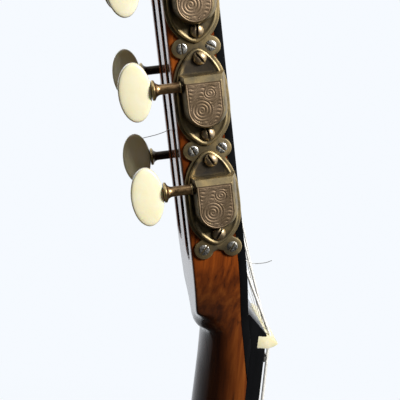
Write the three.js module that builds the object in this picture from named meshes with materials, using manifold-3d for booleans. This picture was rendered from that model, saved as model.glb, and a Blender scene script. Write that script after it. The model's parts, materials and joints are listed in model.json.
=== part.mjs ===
// A gypsy jazz guitar: slotted headstock, enclosed worm tuners, oval sound hole and moustache bridge.
//
// Millimetres. +Z runs up the neck, the strings face -Y, and the bass side is at -X.
// The origin is on the neck's glue face, on the centre line, under the zero fret.
// Three frames are used: the neck's (the part's own), the headstock's and the sound box's.
// In the headstock frame y is the depth behind the black face and z runs up the head from the nut's ramp.
// In the sound box frame y is the depth behind the rim of the soundboard and z is 0 at the neck joint.

import * as THREE from "three";
import { mergeVertices } from "three/addons/utils/BufferGeometryUtils.js";
import Module from "manifold-3d";

const wasm = await Module();
wasm.setup();

const degrees = THREE.MathUtils.degToRad;

// Driving dimensions: neck and strings
const SCALE_LENGTH = 670;
const BODY_FRET = 14;
const BASS_FRETS = 21;
const ALL_FRETS = 24;
const NUT_WIDTH = 46;
const JOINT_WIDTH = 56.6;
const BOARD_THICKNESS = 5.3;
const NECK_DEPTH = 19.2;
const FRET_HEIGHT = 1.1;
const ACTION_AT_BRIDGE = 5;
const STRING_SPREAD_NUT = 38;
const STRING_SPREAD_BRIDGE = 58;
const STRING_DIAMETERS = [1.15, 0.9, 0.66, 0.5, 0.38, 0.28];

// Driving dimensions: headstock
const HEAD_ANGLE = degrees(12.5);
const HEAD_FOOT = { y: 2.5, z: 15.5 };
const HEAD_LENGTH = 158;
const HEAD_WIDTH = 73;
const HEAD_THICKNESS = 19;
const FACE_THICKNESS = 2.8;
const SLOT_WIDTH = 17;
const RIM_WIDTH = 10.3;
const SLOT_FOOT = 28;
const SLOT_LENGTH = 107;
const FLARE_TOP = 21;

// Driving dimensions: tuners
const TUNER_PITCH = 35;
const FIRST_EARS = 30.4;
const EAR_SPACING = 9.9;
const EAR_RADIUS = 3.4;
const PLATE_THICKNESS = 1;
const COVER_HEIGHT = 8;
const AXIS_DEPTH = 9.45;
const GEAR_TEETH = 15;
const GEAR_MODULE = 0.75;
const GEAR_DROP = 2.8;
const WORM_RISE = 5.1;
const WORM_HEIGHT = 4.4;
const SHAFT_RADIUS = 1.85;
const COLLAR_RADIUS = 3.3;
const BARREL_RADIUS = 2.9;
const BUTTON_LENGTH = 20.2;
const BUTTON_WIDTH = 11.3;
const BUTTON_THICKNESS = 4.3;
const BUTTON_DEPTH = 31.9;

// Driving dimensions: sound box
const BODY_LENGTH = 470;
const LOWER_BOUT = 400;
const WAIST = 245;
const UPPER_BOUT = 286;
const DEPTH_AT_NECK = 90;
const DEPTH_AT_TAIL = 98;
const BODY_TILT = degrees(1);
const BODY_SETBACK = 7.3;
const TOP_ARCH = 5;
const BACK_ARCH = 8;
const TOP_THICKNESS = 2.6;
const BACK_THICKNESS = 2.4;
const RIB_THICKNESS = 2.2;
const HOLE_LENGTH = 84;
const HOLE_WIDTH = 60;
const HOLE_CENTRE = -168;
const TOP_BRACES = [-98, -226, -262, -335, -395];
const BACK_BRACES = [-95, -205, -300, -390];
const BRIDGE_LENGTH = 94;
const TAILPIECE_WIDTH = 62;
const TAILPIECE_LIFT = -13;

// The glue line or seat left between two pieces that touch.
const SEAT = 0.1;

const fretZ = (fret) => -SCALE_LENGTH * (1 - 2 ** (-fret / 12));
const JOINT_Z = fretZ(BODY_FRET);
const BRIDGE_Z = -SCALE_LENGTH - 3;
const boardHalf = (z) => (NUT_WIDTH + ((JOINT_WIDTH - NUT_WIDTH) * z) / JOINT_Z) / 2;

// Materials, one per finish
const finish = (color, roughness, metalness = 0) =>
  new THREE.MeshStandardMaterial({ color, roughness, metalness });
const NECK_WOOD = finish("#6f3314", 0.3);
const BLACK_WOOD = finish("#131416", 0.35);
const AGED_BRASS = finish("#7d6a3f", 0.38, 1);
const STEEL = finish("#9a9a98", 0.3, 1);
const BONE = finish("#efe7b9", 0.35);
const IVORY = finish("#f6e9bd", 0.3);
const SPRUCE = finish("#c98a45", 0.3);
const ROSEWOOD = finish("#4a2416", 0.32);
const INNER_WOOD = finish("#c9a676", 0.75);
const STRING_METAL = finish("#b9a27a", 0.3, 1);

// Solids, made from closed meshes and joined or cut

function solidOf(geometry, matrix = new THREE.Matrix4()) {
  const bare = geometry.index ? geometry.toNonIndexed() : geometry.clone();
  bare.deleteAttribute("normal");
  bare.deleteAttribute("uv");
  const merged = mergeVertices(bare.applyMatrix4(matrix), 1e-4);
  const triVerts = new Uint32Array(merged.index.array);
  const vertProperties = merged.attributes.position.array;
  const made = new wasm.Manifold(new wasm.Mesh({ numProp: 3, vertProperties, triVerts }));
  if (made.volume() > 0) return made;
  for (let i = 0; i < triVerts.length; i += 3) {
    [triVerts[i + 1], triVerts[i + 2]] = [triVerts[i + 2], triVerts[i + 1]];
  }
  return new wasm.Manifold(new wasm.Mesh({ numProp: 3, vertProperties, triVerts }));
}

function geometryOf(solid) {
  const { numProp, vertProperties, triVerts, numVert } = solid.getMesh();
  const positions = new Float32Array(numVert * 3);
  for (let i = 0; i < numVert; i++) {
    positions.set(vertProperties.subarray(i * numProp, i * numProp + 3), i * 3);
  }
  const geometry = new THREE.BufferGeometry();
  geometry.setAttribute("position", new THREE.BufferAttribute(positions, 3));
  geometry.setIndex(new THREE.BufferAttribute(triVerts, 1));
  const flat = geometry.toNonIndexed();
  flat.computeVertexNormals();
  return flat;
}

const joined = (solids) => solids.reduce((sum, next) => sum.add(next));

const basis = (x, y, z) =>
  new THREE.Matrix4().makeBasis(new THREE.Vector3(...x), new THREE.Vector3(...y), new THREE.Vector3(...z));
const at = (x, y, z) => new THREE.Matrix4().makeTranslation(x, y, z);

// An outline extruded along its own z from one level to another, then placed by a matrix.
function extruded(points, from, to, matrix = new THREE.Matrix4(), holes = []) {
  const shape = new THREE.Shape(points.map(([a, b]) => new THREE.Vector2(a, b)));
  for (const hole of holes) {
    shape.holes.push(new THREE.Path(hole.map(([a, b]) => new THREE.Vector2(a, b))));
  }
  const geometry = new THREE.ExtrudeGeometry(shape, { depth: to - from, bevelEnabled: false, steps: 1 });
  return solidOf(geometry.translate(0, 0, from), matrix);
}

// An outline seen from the front, in x and z, made solid between two depths y.
const FRONT_VIEW = basis([1, 0, 0], [0, 0, 1], [0, -1, 0]);
const frontal = (points, nearY, farY) => extruded(points, -farY, -nearY, FRONT_VIEW);

// An outline seen from the side, in y and z, made solid between two places x.
const SIDE_VIEW = basis([0, 1, 0], [0, 0, 1], [1, 0, 0]);
const lateral = (points, fromX, toX) => extruded(points, fromX, toX, SIDE_VIEW);

function block(x0, x1, y0, y1, z0, z1) {
  const box = new THREE.BoxGeometry(x1 - x0, y1 - y0, z1 - z0);
  return solidOf(box, at((x0 + x1) / 2, (y0 + y1) / 2, (z0 + z1) / 2));
}

// A profile of [radius, height] pairs turned about its own z, then placed by a matrix.
function turned(profile, sides, matrix = new THREE.Matrix4(), start = 0) {
  const points = profile.map(([r, h]) => new THREE.Vector2(r, h));
  const lathe = new THREE.LatheGeometry(points, sides, start);
  return solidOf(lathe.rotateX(Math.PI / 2), matrix);
}

// The triangles that close a ring: a fan about its middle, or a ladder where the ring is long and thin.
const fan = (ring) => {
  const middle = ring.reduce((sum, point) => sum.add(point), new THREE.Vector3()).divideScalar(ring.length);
  return ring.map((point, i) => [point, ring[(i + 1) % ring.length], middle]);
};
const ladder = (ring) => {
  const last = ring.length - 1;
  return Array.from({ length: (last - 1) / 2 }, (_, i) => [
    [ring[i], ring[i + 1], ring[last - i]],
    [ring[i + 1], ring[last - i - 1], ring[last - i]],
  ]).flat();
};

// A skin through rings of the same number of points, closed at both ends.
function lofted(rings, cap = fan) {
  const positions = [];
  const push = (...corners) => corners.forEach((corner) => positions.push(corner.x, corner.y, corner.z));
  const count = rings[0].length;
  for (let ring = 0; ring + 1 < rings.length; ring++) {
    for (let i = 0; i < count; i++) {
      const j = (i + 1) % count;
      push(rings[ring][i], rings[ring][j], rings[ring + 1][j]);
      push(rings[ring][i], rings[ring + 1][j], rings[ring + 1][i]);
    }
  }
  for (const [a, b, c] of cap(rings[0])) push(b, a, c);
  for (const triangle of cap(rings.at(-1))) push(...triangle);
  const geometry = new THREE.BufferGeometry();
  geometry.setAttribute("position", new THREE.Float32BufferAttribute(positions, 3));
  return solidOf(geometry);
}

// The space between two surfaces y = near(x, z) and y = far(x, z), on a grid of columns and rows.
function between(near, far, columns, rows) {
  const rings = rows.map((z) => [
    ...columns.map((x) => new THREE.Vector3(x, near(x, z), z)),
    ...columns.toReversed().map((x) => new THREE.Vector3(x, far(x, z), z)),
  ]);
  return lofted(rings, ladder);
}

const circle = (x, y, radius, sides, start = 0.5) =>
  Array.from({ length: sides }, (_, i) => {
    const angle = (2 * Math.PI * (i + start)) / sides;
    return [x + radius * Math.cos(angle), y + radius * Math.sin(angle)];
  });

// A counter-clockwise outline moved inwards by a distance, each corner along its own mitre.
function inset(points, distance) {
  const normal = (a, b) => {
    const length = Math.hypot(b[0] - a[0], b[1] - a[1]);
    return [-(b[1] - a[1]) / length, (b[0] - a[0]) / length];
  };
  return points.map((point, i) => {
    const before = points.at(i - 1);
    const after = points[(i + 1) % points.length];
    const [n1, n2] = [normal(before, point), normal(point, after)];
    const reach = distance / (1 + n1[0] * n2[0] + n1[1] * n2[1]);
    return [point[0] + (n1[0] + n2[0]) * reach, point[1] + (n1[1] + n2[1]) * reach];
  });
}

// The points of a path. A line keeps its ends, and a curve is cut into equal steps of about the given length.
function pathPoints(path, step) {
  const points = path.curves.flatMap((curve) => {
    const count = curve.isLineCurve ? 1 : Math.max(3, Math.round(curve.getLength() / step));
    return curve.getSpacedPoints(count).slice(0, -1);
  });
  return points.map((point) => [point.x, point.y]);
}

// A path from corners: [x, y] goes straight there, four numbers curve there by one control point, six by two.
function drawn(start, ...corners) {
  const path = new THREE.Path();
  path.moveTo(...start);
  for (const corner of corners) {
    if (corner.length === 2) path.lineTo(...corner);
    else if (corner.length === 4) path.quadraticCurveTo(...corner);
    else path.bezierCurveTo(...corner);
  }
  return path;
}

// A half outline on the side of positive x, closed by its mirror image. It runs upwards.
const mirrorClosed = (half) =>
  [...half, ...half.toReversed().filter(([x]) => x > 1e-6).map(([x, y]) => [-x, y])];

// Groups for the three frames
const guitar = new THREE.Group();
const head = new THREE.Group();
head.position.set(0, HEAD_FOOT.y, HEAD_FOOT.z);
head.rotation.x = -HEAD_ANGLE;
const box = new THREE.Group();
box.position.set(0, BODY_SETBACK, JOINT_Z);
box.rotation.x = BODY_TILT;
guitar.add(head, box);
guitar.updateMatrixWorld(true);

const HEAD_TO_NECK = head.matrixWorld.clone();
const BOX_TO_NECK = box.matrixWorld.clone();
const moved = (solid, matrix) => solid.transform(matrix.elements.slice());

function addMesh(group, name, solid, material, position = [0, 0, 0]) {
  const mesh = new THREE.Mesh(geometryOf(solid), material);
  mesh.name = name;
  mesh.position.set(...position);
  group.add(mesh);
  return mesh;
}

// Headstock outline, seen from the front: a flare above the nut, straight sides and a gently arched top
function headOutline() {
  const half = HEAD_WIDTH / 2;
  const neckHalf = NUT_WIDTH / 2 + 0.4;
  const shoulder = HEAD_LENGTH - 5;
  const right = drawn([neckHalf, -26], [neckHalf, -2], [neckHalf + 1, 8, half - 1, 10, half, FLARE_TOP],
    [half, shoulder - 5], [half, shoulder - 1, half - 5, shoulder],
    [half / 2, HEAD_LENGTH - 0.5, 0, HEAD_LENGTH]);
  return mirrorClosed([...pathPoints(right, 5), [0, HEAD_LENGTH]]);
}

// One string slot with flattened round ends, and the ramp at its foot that lets the strings down into it
const SLOT_CENTRE = HEAD_WIDTH / 2 - RIM_WIDTH - SLOT_WIDTH / 2;

function slotCutter(side) {
  const centre = side * SLOT_CENTRE;
  const radius = SLOT_WIDTH / 2;
  const rise = radius * 0.55;
  const roundEnd = (z, start) =>
    Array.from({ length: 7 }, (_, i) => {
      const angle = start + (Math.PI * i) / 6;
      return [centre + radius * Math.cos(angle), z + rise * Math.sin(angle)];
    });
  const outline = [...roundEnd(SLOT_FOOT + SLOT_LENGTH - rise, 0), ...roundEnd(SLOT_FOOT + rise, Math.PI)];
  const well = frontal(outline, -5, HEAD_THICKNESS + 5);
  const rampFloor = 6.2;
  const rampProfile = [[-5, 10], [-0.5, 15.5], [rampFloor, SLOT_FOOT + 2], [rampFloor, SLOT_FOOT + 9],
    [-5, SLOT_FOOT + 9]];
  const rampHalf = radius * 0.94;
  return well.add(lateral(rampProfile, centre - rampHalf, centre + rampHalf));
}

// Places of one tuner: its cell's middle, its roller and its worm, up the head
const tunerCell = (row) => FIRST_EARS + TUNER_PITCH * (row + 0.5);
const rollerZ = (row) => tunerCell(row) - GEAR_DROP;
const wormZ = (row) => tunerCell(row) + WORM_RISE;
const TUNER_ROWS = [0, 1, 2];
const TUNER_SIDES = [-1, 1];

// A frame on the head's side, at a depth and height: z points out of the side, y up the head
const outOfSide = (side, depth, z) =>
  at((side * HEAD_WIDTH) / 2, depth, z).multiply(
    side < 0 ? basis([0, -1, 0], [0, 0, 1], [-1, 0, 0]) : basis([0, 1, 0], [0, 0, 1], [1, 0, 0]));

const BORE_RADIUS = 3.6;
const JOURNAL_BORE_RADIUS = 2.7;
const JOURNAL_DEPTH = 7.3;
const ROUND_SIDES = 8;

function rollerBores() {
  const end = -RIM_WIDTH - SLOT_WIDTH - JOURNAL_DEPTH;
  const step = -RIM_WIDTH - 2;
  const profile = [[0, end], [JOURNAL_BORE_RADIUS, end], [JOURNAL_BORE_RADIUS, step], [BORE_RADIUS, step],
    [BORE_RADIUS, 3], [0, 3]];
  return joined(TUNER_SIDES.flatMap((side) =>
    TUNER_ROWS.map((row) => turned(profile, ROUND_SIDES, outOfSide(side, AXIS_DEPTH, rollerZ(row))))));
}

// Neck sections: a round-backed D whose width and depth change along the neck
function neckRing(z, halfWidth, depth, power) {
  const steps = 14;
  return Array.from({ length: steps + 1 }, (_, i) => {
    const angle = (Math.PI * i) / steps;
    const [c, s] = [Math.cos(angle), Math.sin(angle)];
    return new THREE.Vector3(
      Math.sign(c) * Math.abs(c) ** (2 / power) * halfWidth,
      Math.abs(s) ** (2 / power) * depth, z);
  });
}

// The neck's depth at heights down to the heel, which swells to meet the sound box
const HEEL = [[-330, 22.2], [-346, 25.5], [-356, 33], [-363, 46], [-368, 64], [JOINT_Z - 4, 84]];
const NECK_DEPTHS = [[16, 19.4], [6, 19.3], [-30, NECK_DEPTH], [-170, 20.4], ...HEEL];
const HEEL_BEGINS = 30;

function neckShaft() {
  return lofted(NECK_DEPTHS.map(([z, depth]) => {
    const beyond = Math.max(0, depth - HEEL_BEGINS);
    return neckRing(z, boardHalf(Math.min(z, 0)) * (1 - beyond * 0.0045), depth, beyond > 0 ? 2.5 : 2.15);
  }));
}

// The wedge that carries the fingerboard over the soundboard
function boardWedge() {
  const [top, end] = [JOINT_Z + 12, JOINT_Z - 104];
  const half = JOINT_WIDTH / 2 - 0.7;
  const surface = (z) => BODY_SETBACK - TOP_ARCH - SEAT + (JOINT_Z - z) * Math.tan(BODY_TILT);
  const deep = surface(JOINT_Z);
  return lateral([[0, top], [0, end], [surface(end), end], [deep, JOINT_Z], [deep, top]], -half, half);
}

// Head and neck meet in a scarf, whose plane carries on the plane of the head's back
function headAndNeck() {
  const slab = moved(frontal(headOutline(), FACE_THICKNESS + SEAT, HEAD_THICKNESS), HEAD_TO_NECK);
  const back = HEAD_THICKNESS;
  const throat = [[back + 3, 4.5], [back - 9, -7.5], [back - 9, -40], [back + 20, -40], [back + 20, 4.5]];
  const throatCut = moved(lateral(throat, -60, 60), HEAD_TO_NECK);
  const openings = moved(rollerBores().add(slotCutter(-1)).add(slotCutter(1)), HEAD_TO_NECK);
  const faceSide = moved(block(-60, 60, -60, FACE_THICKNESS + SEAT, -60, 200), HEAD_TO_NECK);
  const boxSide = moved(block(-80, 80, -60, 140, -200, SEAT), BOX_TO_NECK);
  const frontHalf = block(-80, 80, -80, 0, -600, 300);
  const shaft = neckShaft().subtract(boxSide).add(boardWedge());
  return slab.subtract(throatCut).subtract(openings).subtract(frontHalf).add(shaft.subtract(faceSide));
}

const SCARF_DEPTH = HEAD_THICKNESS - 0.6;
const SCARF_FOOT = 0.9;
const scarfSpace = (offset) =>
  moved(block(-60, 60, -80, SCARF_DEPTH + offset, -300, HEAD_LENGTH + 20), HEAD_TO_NECK);

function addHeadAndNeck() {
  const whole = headAndNeck();
  const foot = moved(block(-60, 60, -80, 300, -900, SCARF_FOOT), HEAD_TO_NECK);
  addMesh(guitar, "headstock", whole.subtract(foot.subtract(scarfSpace(-SEAT / 2))), NECK_WOOD);
  addMesh(guitar, "neck", whole.intersect(foot.subtract(scarfSpace(SEAT / 2))), NECK_WOOD);
}

function addFaceplate() {
  const glueFace = moved(block(-80, 80, -80, SEAT, -300, 300), HEAD_TO_NECK.clone().invert());
  const plate = frontal(headOutline(), 0, FACE_THICKNESS).subtract(slotCutter(-1)).subtract(slotCutter(1));
  addMesh(head, "headstock_faceplate", plate.subtract(glueFace), BLACK_WOOD);
}

// Fingerboard: its frets are pressed in, its head end ramps down to the headstock's face
const NUT_FOOT = 3.4;
const NUT_THICKNESS = 4.3;
const NUT_SEAT_Y = -2.3;
const NUT_TOP_Y = -9.2;
const BASS_END = fretZ(BASS_FRETS) - 8;
const TREBLE_END = fretZ(ALL_FRETS) - 5;

function fretBar(fret) {
  const z = fretZ(fret);
  const crown = -BOARD_THICKNESS - FRET_HEIGHT;
  const foot = -BOARD_THICKNESS + 0.3;
  const profile = [[foot, z - 1.2], [foot, z + 1.2], [crown, z + 0.5], [crown, z - 0.5]];
  const half = boardHalf(z) - 0.4;
  return lateral(profile, fret > BASS_FRETS ? 1.5 : -half, half);
}

function addFingerboard() {
  const rampTop = NUT_FOOT + NUT_THICKNESS + 0.6;
  const headSlope = Math.tan(HEAD_ANGLE);
  const faceMeetsGlue = HEAD_FOOT.z - HEAD_FOOT.y / headSlope;
  const profile = [[-BOARD_THICKNESS, TREBLE_END], [0, TREBLE_END], [0, faceMeetsGlue + 0.15 / headSlope],
    [HEAD_FOOT.y - 0.15, HEAD_FOOT.z], [-BOARD_THICKNESS, rampTop]];
  const wide = lateral(profile, -40, 40);
  const [nutHalf, bassHalf, trebleHalf] = [boardHalf(0), boardHalf(BASS_END), boardHalf(TREBLE_END)];
  const plan = [[nutHalf + 0.2, 20], [-nutHalf - 0.2, 20], [-nutHalf, 0], [-bassHalf, BASS_END],
    [-4, BASS_END - 2], [1, BASS_END - 6], [2, TREBLE_END], [trebleHalf - 4, TREBLE_END],
    [trebleHalf, TREBLE_END + 4], [nutHalf, 0]];
  const nutSlot = block(-40, 40, -20, NUT_SEAT_Y + 0.02, NUT_FOOT - SEAT, NUT_FOOT + NUT_THICKNESS + SEAT);
  const tangSlot = block(-40, 40, -20, -BOARD_THICKNESS + 2, -0.4, 0.4);
  const frets = Array.from({ length: ALL_FRETS }, (_, i) => fretBar(i + 1));
  const board = wide.intersect(frontal(plan, -30, 30)).subtract(nutSlot).subtract(tangSlot);
  addMesh(guitar, "fingerboard", joined([board, ...frets]), BLACK_WOOD);
}

function addZeroFret() {
  const top = -BOARD_THICKNESS - FRET_HEIGHT;
  const seat = -BOARD_THICKNESS - 0.02;
  const tang = seat + 1.8;
  const profile = [[seat, -1.6], [seat, -0.25], [tang, -0.25], [tang, 0.25], [seat, 0.25], [seat, 1.6],
    [top + 0.35, 1.3], [top, 0.5], [top, -0.5], [top + 0.35, -1.3]];
  addMesh(guitar, "zero_fret", lateral(profile, -boardHalf(0) + 0.1, boardHalf(0) - 0.1), STEEL);
}

const stringX = (index, spread) => -spread / 2 + (spread * index) / 5;
const STRING_REST_Y = -BOARD_THICKNESS - FRET_HEIGHT - 0.05;

function addNut() {
  const [z0, z1] = [NUT_FOOT, NUT_FOOT + NUT_THICKNESS];
  const crownRise = 2.6;
  const crown = Array.from({ length: 5 }, (_, i) => {
    const across = Math.cos((Math.PI * i) / 4);
    return [NUT_TOP_Y + crownRise * Math.abs(across) ** 1.7, (z0 + z1) / 2 + (NUT_THICKNESS / 2) * across];
  });
  const blank = lateral([[NUT_SEAT_Y, z0], [NUT_SEAT_Y, z1], ...crown], -boardHalf(0), boardHalf(0));
  const slots = STRING_DIAMETERS.map((diameter, i) => {
    const x = stringX(i, STRING_SPREAD_NUT);
    const half = diameter / 2 + 0.25;
    return block(x - half, x + half, -20, STRING_REST_Y + 0.15, z0 - 1, z1 + 1);
  });
  addMesh(guitar, "nut", blank.subtract(joined(slots)), BONE);
}

// A cover's flange seen from the side: a pointed oval, wider at its foot than at its top
function flangeOutline() {
  const half = 8.4;
  const right = drawn([0, -16], [5.2, -15, half, -9.5, half, -1], [half, 8, 7.4, 9.9, 0, 17.25]);
  return mirrorClosed([...pathPoints(right, 4.6), [0, 17.25]]);
}

// Tuner plates: a pointed oval under each cover, and a pair of round screw ears at each end and between
const COVER_SEAT = PLATE_THICKNESS + 2 * SEAT;
const PLATE_MARGIN = 1;

// The worm's thread meets the wheel's teeth at this distance between the two axes.
const CENTRE_DISTANCE = WORM_RISE + GEAR_DROP;
const WORM_TIP = 2.95;
const WORM_ROOT = 1.35;
const WORM_LEAD = Math.PI * GEAR_MODULE;
const THREAD_TURNS = 2;
const WORM_AXIS = WORM_HEIGHT + SEAT;
const BEARING_AT = 4.9;
const BEARING_HALF = 0.5;
const JOURNAL_RADIUS = 1.3;
const JOURNAL_HOLE_RADIUS = 1.7;

// A bearing lug stands up from the plate on each side of the worm.
function bearingLug(across) {
  const radius = 2.2;
  const foot = 0.6;
  const arch = Array.from({ length: 5 }, (_, i) => {
    const angle = (Math.PI * i) / 4;
    return [WORM_RISE + radius * Math.cos(angle), WORM_AXIS + radius * Math.sin(angle)];
  });
  const outline = [...arch, [WORM_RISE - radius, foot], [WORM_RISE + radius, foot]];
  const hole = circle(WORM_RISE, WORM_AXIS, JOURNAL_HOLE_RADIUS, 6).toReversed();
  return extruded(outline, across - BEARING_HALF, across + BEARING_HALF, SIDE_VIEW, [hole]);
}

function tunerPlate() {
  const level = [SEAT, SEAT + PLATE_THICKNESS];
  const oval = inset(flangeOutline(), -PLATE_MARGIN);
  const pieces = [];
  for (const row of TUNER_ROWS) {
    const place = at(0, tunerCell(row), 0);
    pieces.push(extruded(oval, ...level, place));
    pieces.push(...[-BEARING_AT, BEARING_AT].map((across) => moved(bearingLug(across), place)));
  }
  for (const row of [...TUNER_ROWS, TUNER_ROWS.length]) {
    const ears = FIRST_EARS + TUNER_PITCH * row;
    const discs = [-EAR_SPACING / 2, EAR_SPACING / 2].map((across) => circle(across, ears, EAR_RADIUS, 8));
    pieces.push(...discs.map((disc) => extruded(disc, ...level)));
  }
  const bores = TUNER_ROWS.map((row) => extruded(circle(0, rollerZ(row), BORE_RADIUS, ROUND_SIDES), -1, 1.6));
  return joined(pieces).subtract(joined(bores));
}

// Worm and wheel, meshing at rest with a thread ridge in a tooth gap

// The wheel's axis is x. Its teeth lean with the worm's thread across its width.
const WHEEL_WIDTH = 3.2;
const TOOTH_TIP = 6.26;
const TOOTH_ROOT = 3.9;

function wormWheel() {
  const pitchRadius = (GEAR_TEETH * GEAR_MODULE) / 2;
  const wormPitch = CENTRE_DISTANCE - pitchRadius;
  const lean = ((WORM_LEAD / (2 * Math.PI * wormPitch)) * (WHEEL_WIDTH / 2)) / pitchRadius;
  const halfTip = 0.032;
  const tooth = [[TOOTH_ROOT, -Math.PI / GEAR_TEETH], [TOOTH_TIP, -halfTip], [TOOTH_TIP, halfTip]];
  const ring = (x, turn) =>
    Array.from({ length: GEAR_TEETH }, (_, i) => tooth.map(([radius, offset]) => {
      const angle = (2 * Math.PI * (i + 0.5)) / GEAR_TEETH + offset + turn;
      return new THREE.Vector3(x, -radius * Math.sin(angle), radius * Math.cos(angle));
    })).flat();
  const blank = lofted([ring(-WHEEL_WIDTH / 2, lean), ring(WHEEL_WIDTH / 2, -lean)]);
  const hub = turned([[0, -4], [2.2, -4], [2.2, 4], [0, 4]], 8, basis([0, 1, 0], [0, 0, 1], [1, 0, 0]));
  return blank.subtract(hub);
}

// The worm and its shaft are one skin along z, which points to the string side. 0 is the thread's middle.
const COLLAR_AT = -(BUTTON_DEPTH - AXIS_DEPTH) + BUTTON_WIDTH / 2 + 0.1;
const TANG_RADIUS = 1.2;
const TANG_LENGTH = 3;
const SHAFT_SIDES = 8;

// The one-start thread: a section with a ridge on a quarter of it, which turns once in each lead.
function threadRings() {
  const ridge = [WORM_TIP, WORM_TIP];
  const radii = [...ridge, ...Array(SHAFT_SIDES - 3).fill(WORM_ROOT), WORM_TIP];
  const slices = THREAD_TURNS * SHAFT_SIDES;
  return Array.from({ length: slices + 1 }, (_, slice) => {
    const turns = (slice / slices - 0.5) * THREAD_TURNS;
    return radii.map((radius, i) => {
      const angle = 2 * Math.PI * (i / SHAFT_SIDES + turns);
      return new THREE.Vector3(radius * Math.cos(angle), radius * Math.sin(angle), turns * WORM_LEAD);
    });
  });
}

function wormShaft() {
  const innerEnd = BEARING_AT + BEARING_HALF + 0.3;
  const threadEnd = (THREAD_TURNS * WORM_LEAD) / 2 + 0.25;
  const waist = 2.6;
  const ring = ([radius, z]) =>
    circle(0, 0, radius, SHAFT_SIDES, 0).map(([x, y]) => new THREE.Vector3(x, y, z));
  const shaft = [
    [TANG_RADIUS, COLLAR_AT - TANG_LENGTH], [TANG_RADIUS, COLLAR_AT], [COLLAR_RADIUS, COLLAR_AT],
    [COLLAR_RADIUS, COLLAR_AT + 0.6], [waist, COLLAR_AT + 1.1], [COLLAR_RADIUS, COLLAR_AT + 1.6],
    [COLLAR_RADIUS, COLLAR_AT + 2.2], [SHAFT_RADIUS, COLLAR_AT + 2.4], [SHAFT_RADIUS, -innerEnd],
    [JOURNAL_RADIUS, -innerEnd], [JOURNAL_RADIUS, -threadEnd],
  ];
  const tip = [[JOURNAL_RADIUS, threadEnd], [JOURNAL_RADIUS, innerEnd]];
  return lofted([...shaft.map(ring), ...threadRings(), ...tip.map(ring)]);
}

// A button: a pointed-edged oval cushion, bored from its edge for the shaft's tang
function button() {
  const levels = [[0.45, 0.75], [0.88, 1], [1, 0.6], [1, -0.6], [0.88, -1], [0.45, -0.75]];
  const sides = 14;
  const [thick, long, wide] = [BUTTON_THICKNESS / 2, BUTTON_LENGTH / 2, BUTTON_WIDTH / 2];
  const rings = levels.map(([size, level]) => Array.from({ length: sides }, (_, i) => {
    const angle = (2 * Math.PI * i) / sides;
    return new THREE.Vector3(level * thick, long * size * Math.sin(angle), wide * size * Math.cos(angle));
  }));
  const socketFloor = BUTTON_WIDTH / 2 - TANG_LENGTH - 0.6;
  const socketRadius = TANG_RADIUS + 0.4;
  const socket = turned([[0, socketFloor], [socketRadius, socketFloor], [socketRadius, 9], [0, 9]], 6);
  return lofted(rings).subtract(socket);
}

// The roller turns in the head. Its own frame has z pointing out of the head's side, 0 at the side's face.
const HUB_RADIUS = 1.9;

function roller() {
  const [slotOuter, slotInner] = [-RIM_WIDTH, -RIM_WIDTH - SLOT_WIDTH];
  const end = slotInner - JOURNAL_DEPTH + 0.6;
  const wheelFoot = WORM_AXIS - WHEEL_WIDTH / 2 - 0.15;
  const wheelTop = WORM_AXIS + WHEEL_WIDTH / 2 + 0.2;
  const [journal, shoulder, hub] = [2.3, 3.9, 3.15];
  const profile = [
    [0, end], [journal, end], [journal, slotInner + 0.4], [shoulder, slotInner + 0.4],
    [BARREL_RADIUS, slotInner + 2.4], [BARREL_RADIUS, slotOuter - 2.4], [shoulder, slotOuter - 0.4],
    [hub, slotOuter - 0.4], [hub, wheelFoot], [HUB_RADIUS, wheelFoot], [HUB_RADIUS, wheelTop], [0, wheelTop],
  ];
  return turned(profile, ROUND_SIDES);
}

// A ring of a cover's housing: a half circle below with straight sides up to a square top
const HOUSING_MIDDLE = -2.7;

function housingRing(level, aside, half, top, foot) {
  const arc = Array.from({ length: 7 }, (_, i) => {
    const angle = Math.PI + (Math.PI * i) / 6;
    return [half * Math.cos(angle), HOUSING_MIDDLE + (HOUSING_MIDDLE - foot) * Math.sin(angle)];
  });
  return [...arc, [half, top], [-half, top]].map(([a, b]) => new THREE.Vector3(a + aside, b, level));
}

// A cover: a beaded flange and a housing over wheel and worm, which leans to the front and is open below
function tunerCover() {
  const outline = flangeOutline();
  const flangeTop = COVER_SEAT + 0.9;
  const ring = (margin, level) => inset(outline, margin).map(([a, b]) => new THREE.Vector3(a, b, level));
  const flange = lofted([ring(0, COVER_SEAT), ring(0.1, flangeTop + 0.25), ring(1.2, flangeTop)]);
  const housing = lofted([
    housingRing(COVER_SEAT, -0.3, 8, 9.3, -10.3), housingRing(6.3, -0.38, 7.4, 9.05, -10.1),
    housingRing(7.1, -0.6, 6.8, 8.8, -9.35), housingRing(COVER_HEIGHT, -0.72, 5.8, 6.45, -8.5)]);
  const hollow = lofted([
    housingRing(0, -0.3, 7.1, 8.5, -9.75), housingRing(6.3, -0.35, 6.95, 8.5, -9.65),
    housingRing(COVER_HEIGHT - 0.38, -0.68, 5.5, 6.2, -8)]);
  const window = SHAFT_RADIUS + 0.25;
  const shaftWindow = turned([[0, 4], [window, 4], [window, 20], [0, 20]], 8,
    at(0, WORM_RISE, WORM_AXIS).multiply(basis([0, 1, 0], [0, 0, 1], [1, 0, 0])));
  return flange.add(housing).subtract(hollow).subtract(shaftWindow);
}

// The two sides of the head carry the same tuners, mirrored.
const mirrored = (solid) => moved(solid, new THREE.Matrix4().makeScale(-1, 1, 1));
const SIDE_NAMES = { "-1": "bass", 1: "treble" };

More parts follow.
